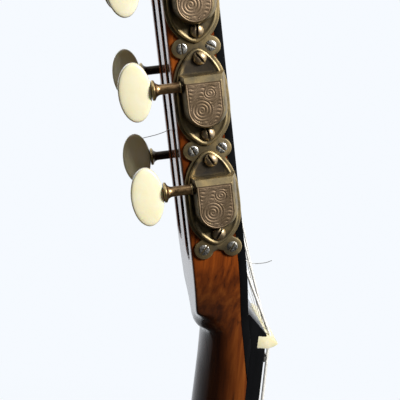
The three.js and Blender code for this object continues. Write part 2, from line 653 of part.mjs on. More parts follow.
function addTuners() {
  const [plate, cover, barrel] = [tunerPlate(), tunerCover(), roller()];
  const wheel = wormWheel();
  const shaft = moved(wormShaft(), basis([0, 0, -1], [1, 0, 0], [0, -1, 0]));
  const knob = moved(button(), basis([1, 0, 0], [0, 0, 1], [0, -1, 0]));
  for (const side of TUNER_SIDES) {
    const facing = (solid) => (side < 0 ? mirrored(solid) : solid);
    const onSide = moved(facing(plate), outOfSide(side, AXIS_DEPTH, 0));
    addMesh(head, `tuner_plate_${SIDE_NAMES[side]}`, onSide, AGED_BRASS);
    for (const row of TUNER_ROWS) {
      const number = side < 0 ? 6 - row : row + 1;
      const axisX = side * (HEAD_WIDTH / 2 + WORM_AXIS);
      const overCell = outOfSide(side, AXIS_DEPTH, tunerCell(row));
      const throughHead = outOfSide(side, AXIS_DEPTH, rollerZ(row));
      addMesh(head, `tuner_cover_${number}`, moved(facing(cover), overCell), AGED_BRASS);
      addMesh(head, `worm_wheel_${number}`, wheel, AGED_BRASS, [axisX, AXIS_DEPTH, rollerZ(row)]);
      addMesh(head, `string_roller_${number}`, moved(barrel, throughHead), AGED_BRASS);
      addMesh(head, `worm_shaft_${number}`, shaft, AGED_BRASS, [axisX, AXIS_DEPTH, wormZ(row)]);
      addMesh(head, `tuner_button_${number}`, knob, IVORY, [axisX, BUTTON_DEPTH, wormZ(row)]);
    }
  }
}

// Sound box outline, counter-clockwise from the neck joint, with the cutaway on the treble side
function boxOutline() {
  const [upper, waist, lower] = [UPPER_BOUT / 2, WAIST / 2, LOWER_BOUT / 2];
  const joint = boardHalf(JOINT_Z) + 0.4;
  const tail = -BODY_LENGTH;
  const path = drawn([0, 0], [-joint, 0],
    [-80, 2, -upper, -28, -upper, -98],
    [-upper, -138, -waist, -152, -waist, -192],
    [-waist, -238, -lower, -262, -lower, -345],
    [-lower, -424, -118, tail, 0, tail],
    [118, tail, lower, -424, lower, -345],
    [lower, -262, waist, -238, waist, -192],
    [waist, -150, upper + 3, -120, 124, -46],
    [104, -70, 72, -78, 48, -68],
    [36, -63, joint + 1.4, -56, joint + 1, -44],
    [joint, 0], [0, 0]);
  return pathPoints(path, 28);
}

// The plates are arched across, and the top is bent along a line just below the bridge.
const BRIDGE_IN_BOX = BRIDGE_Z - JOINT_Z;
const PLIAGE_Z = BRIDGE_IN_BOX - 10;
const GRID_X = [-210, -145, -85, -28, 28, 85, 145, 210];
const GRID_Z = [40, PLIAGE_Z, -BODY_LENGTH - 30];
const PLIAGE_ANGLE = degrees(1.6);
const crown = (x) => 1 - (x / (LOWER_BOUT / 2)) ** 2;
const rimDepth = (z) => DEPTH_AT_NECK + ((DEPTH_AT_TAIL - DEPTH_AT_NECK) * -z) / BODY_LENGTH;
const topY = (x, z) => -TOP_ARCH * crown(x) + Math.max(0, PLIAGE_Z - z) * Math.tan(PLIAGE_ANGLE);
const backY = (x, z) => rimDepth(z) + BACK_ARCH * crown(x);
const shifted = (surface, distance) => (x, z) => surface(x, z) + distance;
const inBox = (near, far) => between(near, far, GRID_X, GRID_Z);

function soundHole() {
  const sides = 24;
  return Array.from({ length: sides }, (_, i) => {
    const angle = (2 * Math.PI * i) / sides;
    return [(HOLE_WIDTH / 2) * Math.cos(angle), HOLE_CENTRE + (HOLE_LENGTH / 2) * Math.sin(angle)];
  });
}

function addPlates(outline) {
  const inside = inset(outline, 10);
  const room = frontal(inside, -20, 130);
  const bars = (levels, half, y0, y1) =>
    joined(levels.map((z) => block(-195, 195, y0, y1, z - half, z + half))).intersect(room);
  const top = inBox(topY, shifted(topY, TOP_THICKNESS)).intersect(frontal(outline, -20, 60));
  const topBars = bars(TOP_BRACES, 4, -12, 7).intersect(inBox(shifted(topY, 1), shifted(topY, 40)));
  const soundboard = top.add(topBars).subtract(frontal(soundHole(), -20, 60));
  addMesh(box, "soundboard", soundboard, SPRUCE);
  const back = inBox(shifted(backY, -BACK_THICKNESS), backY).intersect(frontal(outline, 40, 130));
  const backBars = bars(BACK_BRACES, 5, 84, 120).intersect(inBox(shifted(backY, -15), shifted(backY, -1)));
  addMesh(box, "back", back.add(backBars), ROSEWOOD);
}

const TOP_INNER = shifted(topY, TOP_THICKNESS + SEAT);
const BACK_INNER = shifted(backY, -BACK_THICKNESS - SEAT);

// The outlines of the neck block and the tail block, grown by a gap where the linings stop short of them
const neckBlockPlan = (gap) => {
  const [bass, treble, foot, high] = [-38 - gap, 24.8 + gap, -52 - gap, 9];
  return [[bass, high], [bass, foot], [treble, foot], [treble, high]];
};
const tailBlockPlan = (gap) => {
  const [half, high] = [36 + gap, -436 + gap];
  return [[-half, -500], [half, -500], [half, high], [-half, high]];
};
const BLOCK_GAP = 0.3;
const LINING_WIDTH = 6.4;
// Beside the neck joint the cutaway's rib comes too close for a lining.
const JOINT_CORNER = [[20, 9], [20, -30], [60, -30], [60, 9]];

function addRim(outline) {
  const filled = (plan) => frontal(plan, -20, 130);
  const ring = (outer, inner) =>
    filled(inset(outline, outer)).subtract(frontal(inset(outline, inner), -30, 140));
  const innerSpace = filled(inset(outline, RIB_THICKNESS + SEAT)).intersect(inBox(TOP_INNER, BACK_INNER));
  addMesh(box, "neck_block", filled(neckBlockPlan(0)).intersect(innerSpace), INNER_WOOD);
  addMesh(box, "tail_block", filled(tailBlockPlan(0)).intersect(innerSpace), INNER_WOOD);
  const ribs = ring(0, RIB_THICKNESS).intersect(inBox(TOP_INNER, BACK_INNER));
  const blocks = joined([neckBlockPlan(BLOCK_GAP), tailBlockPlan(BLOCK_GAP), JOINT_CORNER].map(filled));
  const linings = ring(RIB_THICKNESS + SEAT, RIB_THICKNESS + SEAT + LINING_WIDTH).subtract(blocks);
  for (const side of TUNER_SIDES) {
    const name = SIDE_NAMES[side];
    const [near, far] = [side * SEAT, side * 260];
    const half = block(Math.min(near, far), Math.max(near, far), -40, 150, -500, 40);
    const sideLinings = linings.intersect(half);
    addMesh(box, `rib_${name}`, ribs.intersect(half), ROSEWOOD);
    const underTop = inBox(TOP_INNER, shifted(topY, 14));
    const underBack = inBox(shifted(backY, -15), BACK_INNER);
    addMesh(box, `top_lining_${name}`, sideLinings.intersect(underTop), INNER_WOOD);
    addMesh(box, `back_lining_${name}`, sideLinings.intersect(underBack), INNER_WOOD);
  }
}

// Bridge, moustaches and tailpiece stand on the soundboard, in the sound box frame
const BRIDGE_TOP_Y = -BOARD_THICKNESS - FRET_HEIGHT - ACTION_AT_BRIDGE;

// The bridge: a hollow-footed bar with a narrow crest, whose ends curve down to the moustaches
function addBridge() {
  const crest = new THREE.Vector3(0, BRIDGE_TOP_Y, BRIDGE_Z).applyMatrix4(BOX_TO_NECK.clone().invert()).y;
  const foot = -TOP_ARCH - SEAT;
  const half = BRIDGE_LENGTH / 2;
  const shoulder = foot - 6;
  const section = [[foot + 4, -6], [foot + 4, 6], [foot - 5, 5.2], [crest + 3, 2.2], [crest, 1], [crest, -1],
    [crest + 3, -2.2], [foot - 5, -5.2]];
  const edge = Array.from({ length: 13 }, (_, i) => {
    const t = -1 + i / 6;
    return [t * half, shoulder - (shoulder - crest) * (1 - Math.abs(t) ** 3.2) ** 0.6];
  });
  const face = extruded([...edge, [half, foot + 6], [-half, foot + 6]].toReversed(), -20, 20);
  const hollow = extruded([[-34, foot + 6], [-34, foot], [-30, foot - 2.6], [30, foot - 2.6], [34, foot],
    [34, foot + 6]].toReversed(), -20, 20);
  const bar = lateral(section, -half, half).intersect(face).subtract(hollow);
  const underTop = inBox(shifted(topY, -SEAT), shifted(topY, 30));
  addMesh(box, "bridge", moved(bar, at(0, 0, BRIDGE_IN_BOX)).subtract(underTop), ROSEWOOD);
}

// One wing of the moustache: a tapering strip that curls down from the bridge's end
function addMoustaches() {
  const [start, length, thickness] = [48, 62, 4.5];
  for (const side of TUNER_SIDES) {
    const steps = 9;
    const edge = (lift) => Array.from({ length: steps + 1 }, (_, i) => {
      const t = i / steps;
      const half = 7.2 * (1 - t) ** 0.7 + 0.8;
      const curl = -15 * Math.sin(t * Math.PI * 0.62) + 7 * t * t;
      return [side * (start + length * t), BRIDGE_IN_BOX + curl + lift * half];
    });
    const outline = [...edge(-1), ...edge(1).toReversed()];
    const plan = frontal(side > 0 ? outline : outline.toReversed(), -30, 20);
    const wing = plan.intersect(inBox(shifted(topY, -thickness), shifted(topY, -SEAT)));
    addMesh(box, `moustache_${SIDE_NAMES[side]}`, wing, ROSEWOOD);
  }
}

const TAILPIECE_TOP = BRIDGE_IN_BOX - 78;

// The tailpiece: a strap bent over the end of the box, widening to a bar with slots for the strings' ends
function addTailpiece() {
  const thickness = 1.5;
  const tail = -BODY_LENGTH - SEAT - 0.2;
  const top = TAILPIECE_TOP;
  const [bendY, bendZ] = [-7, tail + 4];
  const profile = [[34, tail - thickness], [-2.5, tail - thickness], [bendY, bendZ], [TAILPIECE_LIFT, top],
    [TAILPIECE_LIFT + thickness, top], [bendY + thickness, bendZ], [-2, tail], [34, tail]];
  const strap = lateral(profile.toReversed(), -40, 40);
  const [half, strapHalf] = [TAILPIECE_WIDTH / 2, 14];
  const right = drawn([strapHalf, tail - 10], [strapHalf, tail + 12],
    [strapHalf, tail + 50, half, tail + 50, half, top - 16], [half, top + 1]);
  const plan = mirrorClosed([...pathPoints(right, 12), [half, top + 1]]);
  const bar = block(-half, half, TAILPIECE_LIFT - 2.5, TAILPIECE_LIFT + 3, top - 6, top + 0.5);
  const pins = Array.from({ length: 6 }, (_, i) => {
    const x = stringX(i, STRING_SPREAD_BRIDGE - 8);
    return block(x - 1, x + 1, TAILPIECE_LIFT - 6, TAILPIECE_LIFT - 0.6, top - 10, top + 5);
  });
  const plate = strap.intersect(frontal(plan, -60, 60)).add(bar).subtract(joined(pins));
  addMesh(box, "tailpiece", plate, AGED_BRASS);
  const surface = (z) => bendY + ((TAILPIECE_LIFT - bendY) * (z - bendZ)) / (top - bendZ) - 0.15;
  const [z0, z1] = [tail + 26, top - 9];
  const layer = lateral([[surface(z0), z0], [surface(z1), z1], [surface(z1) - 1.6, z1],
    [surface(z0) - 1.6, z0]].toReversed(), -40, 40);
  const inlayPlan = mirrorClosed([[9, z0], [15, z0 + 22], [24, z1 - 9], [24, z1]]);
  addMesh(box, "tailpiece_inlay", layer.intersect(frontal(inlayPlan, -60, 60)), ROSEWOOD);
}

const END_PIN_DEPTH = 52;

function addEndPin() {
  const profile = [[0, 0.1], [6.5, 0.1], [5, 2.2], [3.8, 6], [4, 9.5], [6.8, 12], [6.8, 14], [0, 14]];
  const down = at(0, END_PIN_DEPTH, -BODY_LENGTH - 0.2).multiply(basis([1, 0, 0], [0, -1, 0], [0, 0, -1]));
  addMesh(box, "end_pin", turned(profile, 12, down), BLACK_WOOD);
}

// Strings, each one tube from the tailpiece over the bridge, the zero fret and the nut to its roller
const STRING_NAMES = ["low_e", "a", "d", "g", "b", "high_e"];

function stringPath(index) {
  const radius = STRING_DIAMETERS[index] / 2;
  const side = index < 3 ? -1 : 1;
  const row = index < 3 ? index : 5 - index;
  const atNut = stringX(index, STRING_SPREAD_NUT);
  const overNutY = STRING_REST_Y - radius - 0.1;
  const inSlot = side * (SLOT_CENTRE + (1 - row) * 2.2);
  const onRoller = new THREE.Vector3(inSlot, AXIS_DEPTH - BARREL_RADIUS - radius - 0.35, rollerZ(row));
  const anchorX = stringX(index, STRING_SPREAD_BRIDGE - 8);
  const anchor = new THREE.Vector3(anchorX, TAILPIECE_LIFT - 3.6, TAILPIECE_TOP - 1.5);
  return [
    anchor.applyMatrix4(BOX_TO_NECK),
    new THREE.Vector3(stringX(index, STRING_SPREAD_BRIDGE), BRIDGE_TOP_Y - radius - 0.15, BRIDGE_Z),
    new THREE.Vector3(atNut, overNutY, 0),
    new THREE.Vector3(atNut, overNutY, NUT_FOOT + NUT_THICKNESS),
    onRoller.applyMatrix4(HEAD_TO_NECK),
  ];
}

// Rings of a round wire about each point of its path
function wireRings(path, radius, sides) {
  return path.map((point, i) => {
    const next = path[Math.min(i + 1, path.length - 1)];
    const along = next.clone().sub(path[Math.max(i - 1, 0)]).normalize();
    const across = new THREE.Vector3(1, 0, 0).cross(along).normalize();
    const aside = along.clone().cross(across);
    return Array.from({ length: sides }, (_, k) => {
      const angle = (2 * Math.PI * (k + 0.5)) / sides;
      const rim = point.clone().addScaledVector(across, radius * Math.cos(angle));
      return rim.addScaledVector(aside, radius * Math.sin(angle));
    });
  });
}

function addStrings() {
  STRING_NAMES.forEach((name, index) => {
    const wire = lofted(wireRings(stringPath(index), STRING_DIAMETERS[index] / 2, 6));
    addMesh(guitar, `string_${name}`, wire, index < 4 ? STRING_METAL : STEEL);
  });
}

addHeadAndNeck();
addFaceplate();
addFingerboard();
addZeroFret();
addNut();
addTuners();
const rimOutline = boxOutline();
addPlates(rimOutline);
addRim(rimOutline);
addBridge();
addMoustaches();
addTailpiece();
addEndPin();
addStrings();

export default guitar;
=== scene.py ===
"""A gypsy jazz guitar with a slotted headstock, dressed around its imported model.

Sizes are millimetres, turned into metres when a mesh is made. Materials, light and surroundings use metres.
Points are given in one of three frames: the neck's, which is the row frame, the headstock's or the sound box's.
"""

import json
from math import atan2, copysign, cos, floor, hypot, pi, radians, sin, sqrt, tan

import bmesh
import bpy
from mathutils import Matrix, Vector


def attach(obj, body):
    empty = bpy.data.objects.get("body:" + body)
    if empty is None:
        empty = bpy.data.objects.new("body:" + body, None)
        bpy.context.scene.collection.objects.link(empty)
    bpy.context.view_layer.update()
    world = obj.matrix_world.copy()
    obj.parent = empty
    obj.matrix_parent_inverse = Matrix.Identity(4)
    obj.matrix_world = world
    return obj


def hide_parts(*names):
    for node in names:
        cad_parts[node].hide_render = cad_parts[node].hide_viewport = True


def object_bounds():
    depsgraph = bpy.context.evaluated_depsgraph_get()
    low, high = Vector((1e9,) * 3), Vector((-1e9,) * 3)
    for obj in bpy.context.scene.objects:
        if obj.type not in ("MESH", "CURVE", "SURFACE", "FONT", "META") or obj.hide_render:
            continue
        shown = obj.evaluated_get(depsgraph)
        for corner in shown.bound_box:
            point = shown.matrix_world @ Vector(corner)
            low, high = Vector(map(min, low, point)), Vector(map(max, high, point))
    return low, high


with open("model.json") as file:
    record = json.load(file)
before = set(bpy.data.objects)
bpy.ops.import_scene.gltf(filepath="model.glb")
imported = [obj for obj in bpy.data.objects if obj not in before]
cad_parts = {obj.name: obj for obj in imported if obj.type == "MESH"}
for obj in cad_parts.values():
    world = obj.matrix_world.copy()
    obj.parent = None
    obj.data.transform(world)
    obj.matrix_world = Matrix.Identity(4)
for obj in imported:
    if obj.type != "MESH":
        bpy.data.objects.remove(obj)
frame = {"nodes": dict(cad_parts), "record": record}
cad_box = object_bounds()

MM = 0.001
BODY = "guitar"
SHARP_DEGREES = 35

# Neck and strings
SCALE_LENGTH = 670
BODY_FRET = 14
BASS_FRETS = 21
ALL_FRETS = 24
NUT_WIDTH = 46
JOINT_WIDTH = 56.6
BOARD_FACE = -5.3
FRET_HEIGHT = 1.1
ACTION_AT_BRIDGE = 5
SPREAD_NUT = 38
SPREAD_BRIDGE = 58
SPREAD_TAIL = 50
STRING_DIAMETERS = [1.15, 0.9, 0.66, 0.5, 0.38, 0.28]
STRING_NAMES = ["low_e", "a", "d", "g", "b", "high_e"]

# Headstock
HEAD_ANGLE = radians(12.5)
HEAD_FOOT = (2.5, 15.5)
HEAD_LENGTH = 158
HEAD_WIDTH = 73
HEAD_THICKNESS = 19
FACE_THICKNESS = 2.8
SLOT_WIDTH = 17
RIM_WIDTH = 10.3
SLOT_FOOT = 23
SLOT_LENGTH = 112
SLOT_CENTRE = HEAD_WIDTH / 2 - RIM_WIDTH - SLOT_WIDTH / 2

# Tuners
TUNER_PITCH = 35
FIRST_EARS = 30.4
AXIS_DEPTH = 9.45
EAR_SPACING = 9.9
GEAR_DROP = 2.8
WORM_RISE = 5.1
WORM_HEIGHT = 4.5
BUTTON_DEPTH = HEAD_THICKNESS + 12.9
PLATE_LEVEL = 0.1
COVER_LEVEL = 1.2

# Sound box
BODY_LENGTH = 470
LOWER_BOUT = 400
WAIST = 245
UPPER_BOUT = 286
BODY_TILT = radians(1)
BODY_SETBACK = 7.3
TOP_ARCH = 5
BACK_ARCH = 8
DEPTH_AT_NECK = 90
DEPTH_AT_TAIL = 98


def fret_z(fret):
    return -SCALE_LENGTH * (1 - 2 ** (-fret / 12))


JOINT_Z = fret_z(BODY_FRET)
BRIDGE_Z = -SCALE_LENGTH - 3


def board_half(z):
    return (NUT_WIDTH + (JOINT_WIDTH - NUT_WIDTH) * z / JOINT_Z) / 2


# The three frames, as matrices from millimetres in the frame to metres in the row frame
NECK = Matrix.Scale(MM, 4)
HEAD = NECK @ Matrix.Translation((0, *HEAD_FOOT)) @ Matrix.Rotation(-HEAD_ANGLE, 4, "X")
BOX = NECK @ Matrix.Translation((0, BODY_SETBACK, JOINT_Z)) @ Matrix.Rotation(BODY_TILT, 4, "X")


def tuner_frame(side, height, depth=AXIS_DEPTH):
    """x to the head's back, y up the head, z out of the head's side face."""
    columns = Matrix(((0, 0, side), (1, 0, 0), (0, 1, 0))).to_4x4()
    return HEAD @ Matrix.Translation((side * HEAD_WIDTH / 2, depth, height)) @ columns


def cell_height(row):
    return FIRST_EARS + TUNER_PITCH * (row + 0.5)


TUNERS = [(side, row, 6 - row if side < 0 else row + 1) for side in (-1, 1) for row in range(3)]
SIDE_NAMES = {-1: "bass", 1: "treble"}

# Materials, by name
LOOKS = {}


def rgba(colour):
    """Linear light with an alpha, from three linear values or a hexadecimal sRGB code."""
    if isinstance(colour, str):
        parts = [int(colour[i : i + 2], 16) / 255 for i in (0, 2, 4)]
        colour = [v / 12.92 if v <= 0.04045 else ((v + 0.055) / 1.055) ** 2.4 for v in parts]
    return (*colour, 1)


class Paint:
    """The node tree of a material or a world, with short ways to add nodes before its shader."""

    def __init__(self, owner, shader, **values):
        owner.use_nodes = True
        self.tree = owner.node_tree
        self.shader = self.tree.nodes[shader]
        self.set(**values)

    def set(self, **values):
        for name, value in values.items():
            self.put(self.shader.inputs[name.replace("_", " ")], value)

    def put(self, socket, value):
        if isinstance(value, bpy.types.NodeSocket):
            self.tree.links.new(value, socket)
        else:
            socket.default_value = rgba(value) if socket.type == "RGBA" else value

    def node(self, kind, inputs=(), **settings):
        node = self.tree.nodes.new(kind)
        for name, value in settings.items():
            setattr(node, name, value)
        for key, value in dict(inputs).items():
            self.put(node.inputs[key], value)
        return node.outputs

    def math(self, operation, *values):
        return self.node("ShaderNodeMath", enumerate(values), operation=operation)[0]

    def mix(self, factor, a, b, blend="MIX"):
        return self.node("ShaderNodeMix", {0: factor, 6: a, 7: b}, data_type="RGBA", blend_type=blend)[2]

    def seen_directly(self):
        """1 for rays that show the background itself: seen by the camera, mirrored or looked through."""
        rays = self.node("ShaderNodeLightPath")
        value = self.math("MAXIMUM", rays["Is Camera Ray"], rays["Is Glossy Ray"])
        return self.math("MAXIMUM", value, rays["Is Transmission Ray"])

    def place(self, stretch=(1, 1, 1)):
        """Position in the row frame, stretched by a factor along each axis."""
        coordinates = self.node("ShaderNodeTexCoord")["Object"]
        return self.node("ShaderNodeMapping", {"Vector": coordinates, "Scale": stretch})[0]

    def place_in_head(self):
        """Position in the headstock's frame, as three separate values."""
        coordinates = self.node("ShaderNodeTexCoord")["Object"]
        inputs = {"Vector": coordinates, "Location": HEAD.translation, "Rotation": (-HEAD_ANGLE, 0, 0)}
        turned_back = self.node("ShaderNodeMapping", inputs, vector_type="TEXTURE")[0]
        return self.node("ShaderNodeSeparateXYZ", {0: turned_back})

    def noise(self, scale, detail=4, roughness=0.55, stretch=(1, 1, 1), distortion=0):
        inputs = {"Scale": scale, "Detail": detail, "Roughness": roughness, "Distortion": distortion}
        return self.node("ShaderNodeTexNoise", {"Vector": self.place(stretch), **inputs})["Fac"]

    def ramp(self, factor, *stops):
        colour = self.node("ShaderNodeValToRGB", {"Fac": factor})["Color"]
        elements = colour.node.color_ramp.elements
        while len(elements) < len(stops):
            elements.new(0.5)
        for element, (position, code) in zip(elements, stops):
            element.position, element.color = position, rgba(code)
        return colour

    def remap(self, value, low, high, new_low=0, new_high=1):
        inputs = enumerate((value, low, high, new_low, new_high))
        return self.node("ShaderNodeMapRange", inputs, interpolation_type="SMOOTHSTEP")[0]

    def near(self, value, middle, half, soft):
        """1 where a value is within half of a middle, falling to 0 over a soft margin."""
        return self.remap(self.math("ABSOLUTE", self.math("SUBTRACT", value, middle)), half, half + soft, 1, 0)

    def bump(self, height, distance, strength=0.4):
        return self.node("ShaderNodeBump", {"Height": height, "Distance": distance, "Strength": strength})[0]

    def crevice(self, reach):
        """0 in corners and grooves, 1 in the open."""
        return self.node("ShaderNodeAmbientOcclusion", {"Distance": reach}, samples=6)["AO"]


def material(name, **values):
    LOOKS[name] = bpy.data.materials.new(name)
    return Paint(LOOKS[name], "Principled BSDF", **values)


def lacquer(weight, roughness):
    return {"Coat_Weight": weight, "Coat_Roughness": roughness}


def neck_wood():
    """Lacquered wood with painted shade: nearly black inside the string slots, and darker where the neck's shaft
    begins, most towards its back.
    """
    p = material("neck_wood", Roughness=0.5, **lacquer(0.8, 0.11), Specular_IOR_Level=0.04, Coat_IOR=1.36)
    figure = p.noise(9, 4, 0.55, (3.2, 3.2, 1.1), 0.7)
    grain = p.noise(30, 6, 0.65, (9, 9, 0.55), 0.3)
    pores = p.noise(520, 3, 0.6, (1, 1, 0.07))
    colour = p.ramp(grain, (0.32, "50220c"), (0.52, "8c4414"), (0.7, "b46426"))
    mottle = p.ramp(figure, (0.36, (0.3, 0.27, 0.27)), (0.5, (0.75, 0.72, 0.7)), (0.62, (1, 1, 1)))
    colour = p.mix(1.0, colour, mottle, "MULTIPLY")
    colour = p.mix(p.remap(pores, 0.58, 0.72, 0, 0.7), colour, "220f08")
    across, depth, height = p.place_in_head()
    # Painted shade: darker low on the head where the shaft begins, most towards its back.
    shade = p.math("MULTIPLY", p.remap(height, 0.004, 0.03, 0.8, 0), p.remap(depth, 0.004, 0.017, 0.6, 1))
    colour = p.mix(shade, colour, "241711")
    # Painted shade: the walls inside the string slots turn nearly black, short of the head's back.
    margin, soft = 0.15, 0.0001
    in_slot = p.near(p.math("ABSOLUTE", across), SLOT_CENTRE * MM, (SLOT_WIDTH / 2 + margin) * MM, soft)
    along = p.near(height, (SLOT_FOOT + SLOT_LENGTH / 2) * MM, (SLOT_LENGTH / 2 + margin) * MM, soft)
    in_slot = p.math("MULTIPLY", p.math("MULTIPLY", in_slot, along), p.remap(depth, 0.0186, 0.0189, 1, 0))
    p.set(Base_Color=p.mix(in_slot, colour, "0e0907"), Normal=p.bump(pores, 0.00005))


def brass(name, flat, open_metal, bump=0.00004, strength=0.4, rough=(0.26, 0.4)):
    """Aged brass: brown and grey on flat surfaces, worn bright along edges, nearly black in corners."""
    p = material(name, Metallic=1.0)
    stains = p.noise(900, 5, 0.65)
    metal = p.ramp(p.noise(240, 3), (0.36, flat), (0.66, open_metal))
    point = p.node("ShaderNodeNewGeometry")["Pointiness"]
    metal = p.mix(p.remap(point, 0.52, 0.58, 0, 0.75), metal, "dcc590")
    tarnish = p.math("MAXIMUM", p.remap(p.crevice(0.003), 0.3, 0.85, 0.9, 0), p.remap(stains, 0.55, 0.72, 0, 0.4))
    colour = p.mix(tarnish, metal, "2d2e2d")
    p.set(Base_Color=colour, Roughness=p.remap(stains, 0.3, 0.7, *rough), Normal=p.bump(stains, bump, strength))
    return p, colour, tarnish


def cover_brass():
    """The brass of plates and covers, with painted shade and a bluish painted reflection in the hollow between each
    housing and its upper screw.
    """
    p, colour, tarnish = brass("aged_brass", "7a6f59", "a8936a", 0.00006)
    across, depth, height = p.place_in_head()
    # Painted shade and reflection: a blue-grey band across the hollow above each housing, below its upper screw.
    away = p.math("PINGPONG", p.math("SUBTRACT", height, (cell_height(1) + 11.4) * MM), TUNER_PITCH / 2 * MM)
    hollow = p.math("MULTIPLY", p.remap(away, 0.0017, 0.003, 0.75, 0), p.near(depth, AXIS_DEPTH * MM, 0.0046, 0.0012))
    p.set(Base_Color=p.mix(hollow, colour, "33343a"), Roughness=p.remap(tarnish, 0, 1, 0.46, 0.7))


def engraved_brass():
    p, colour, tarnish = brass("engraved_brass", "8b765d", "a58e75", 0.00003, 0.3)
    groove = p.node("ShaderNodeAttribute", attribute_name="groove")["Fac"]
    p.set(Base_Color=p.mix(p.math("MULTIPLY", groove, 0.4), colour, "3f3428"))
    p.set(Roughness=p.remap(groove, 0, 1, 0.5, 0.65))


def screw_steel():
    p = material("screw_steel", Metallic=1.0)
    stains = p.noise(1500, 4, 0.6)
    colour = p.ramp(stains, (0.35, "97958f"), (0.65, "d2d0cb"))
    p.set(Base_Color=p.mix(p.remap(p.crevice(0.0006), 0.3, 0.9, 1, 0), colour, "2c2a26"))
    p.set(Roughness=p.remap(stains, 0.3, 0.7, 0.25, 0.45))


def string_wire(name, dark, light, wound):
    p = material(name, Metallic=0.35, Roughness=0.4)
    p.set(Base_Color=p.ramp(p.noise(700, 3), (0.3, dark), (0.7, light)))
    if wound:
        inputs = {"Scale": 1 / (2 * pi * 0.00006), "Vector": p.place((0, 0, 1))}
        turns = p.node("ShaderNodeTexWave", inputs, bands_direction="Z")["Fac"]
        p.set(Normal=p.bump(turns, 0.00004, 0.5))


def grained(name, noises, stops, over=None, rough=None, bump=(0, 0.00005, 0.4), **values):
    """Coloured and roughened by the first noise. Over it lies a colour by the second, as (low, high, share, colour)."""
    p = material(name, **values)
    noises = [p.noise(*noise) for noise in noises]
    colour = p.ramp(noises[0], *stops)
    if over:
        low, high, share, tint = over
        colour = p.mix(p.remap(noises[1], low, high, 0, share), colour, tint)
    if rough:
        p.set(Roughness=p.remap(noises[0], 0.3, 0.7, *rough))
    which, distance, strength = bump
    p.set(Base_Color=colour, Normal=p.bump(noises[which], distance, strength))


neck_wood()
cover_brass()
brass("shaft_brass", "7d6448", "b8956a")
# A darkened copy of the shaft brass for the treble side: painted shade.
brass("painted_shade_shaft_brass", "332f2a", "4d453b")
brass("screw_brass", "97836b", "bba68a", rough=(0.34, 0.5))
engraved_brass()
screw_steel()
string_wire("wound_string", "e8e6e0", "fbfaf6", True)
string_wire("plain_string", "e2e2e0", "f8f8f6", False)
grained(
    "black_wood", [(40, 5, 0.6, (4, 4, 0.4))], [(0.3, "08090a"), (0.7, "141518")], rough=(0.42, 0.6),
    **lacquer(0.7, 0.1), Specular_IOR_Level=0.04,
)
grained(
    "cream_button", [(150, 3, 0.5), (1100, 4, 0.7)], [(0.35, "fbf3cd"), (0.7, "fffae0")], (0.6, 0.78, 0.35, "e2c692"),
    bump=(1, 0.00003, 0.3), Roughness=0.25, **lacquer(0.3, 0.1), Subsurface_Weight=0.15,
    Subsurface_Radius=(0.003, 0.002, 0.001), Subsurface_Scale=1,
)
grained(
    "bone", [(300, 4, 0.6, (0.3, 1, 1))], [(0.3, "e8e0b6"), (0.7, "f2ecd0")], bump=(0, 0.00003, 0.4),
    Roughness=0.4, Subsurface_Weight=0.2, Subsurface_Radius=(0.002, 0.0015, 0.001), Subsurface_Scale=1,
)
grained(
    "soundboard_spruce", [(95, 3, 0.5, (6, 1, 0.12), 0.1), (60, 4, 0.6, (0.4, 1, 3))],
    [(0.35, "a35a20"), (0.55, "d08a3c"), (0.75, "dca052")], (0.5, 0.75, 0.12, "e7b56a"),
    bump=(0, 0.00004, 0.3), Roughness=0.35, **lacquer(0.8, 0.08),
)
grained(
    "body_rosewood", [(22, 6, 0.62, (3.5, 3.5, 0.35), 0.9), (500, 3, 0.6, (1, 1, 0.06))],
    [(0.3, "1f0e0a"), (0.5, "4c2315"), (0.72, "7a3e22")], (0.58, 0.72, 0.7, "150906"), bump=(1, 0.00005, 0.4),
    Roughness=0.42, **lacquer(0.35, 0.12), Specular_IOR_Level=0.25, Coat_IOR=1.36,
)
grained(
    "inner_wood", [(60, 5, 0.6, (5, 5, 0.4))], [(0.3, "b08a58"), (0.7, "d2b384")], bump=(0, 0.0001, 0.4), Roughness=0.75
)
grained("ivory_strip", [(60, 3, 0.5)], [(0.3, "d8c592"), (0.7, "eadcb2")], bump=(0, 0.00002, 0.3), Roughness=0.3)


# Mesh helpers


def add_object(name, data):
    obj = bpy.data.objects.new(name, data)
    bpy.context.collection.objects.link(obj)
    return obj


def add_mesh(name, shape, place=Matrix()):
    mesh = bpy.data.meshes.new(name)
    mesh.from_pydata([place @ Vector(v) for v in shape[0]], [], shape[1])
    return add_object(name, mesh)


def piece(name, shape, place, look, stands_for=None, body=BODY, sharp=SHARP_DEGREES):
    """A named mesh from (verts, faces) in one of the frames, riding on a body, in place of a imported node."""
    obj = add_mesh(name, shape, place)
    obj.data.materials.append(LOOKS[look])
    clean(obj, sharp)
    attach(obj, body)
    if stands_for:
        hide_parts(stands_for)
    return obj


def clean(obj, sharp=SHARP_DEGREES, point=None, normal=None):
    """Turns all faces outwards and smooths all edges but sharp ones and the rim of the faces in a given plane."""
    mesh = bmesh.new()
    mesh.from_mesh(obj.data)
    bmesh.ops.recalc_face_normals(mesh, faces=mesh.faces)
    flat = set()
    if point:
        flat = {face for face in mesh.faces if max(abs((v.co - point).dot(normal)) for v in face.verts) < 0.02 * MM}
    for edge in mesh.edges:
        bent = len(edge.link_faces) != 2 or edge.calc_face_angle(0) >= radians(sharp)
        edge.smooth = not bent and len(flat.intersection(edge.link_faces)) != 1
    for face in mesh.faces:
        face.smooth = True
    mesh.to_mesh(obj.data)
    mesh.free()


def settle(obj):
    """Applies an object's modifiers to its mesh."""
    graph = bpy.context.evaluated_depsgraph_get()
    mesh = bpy.data.meshes.new_from_object(obj.evaluated_get(graph))
    obj.modifiers.clear()
    obj.data = mesh
    clean(obj)


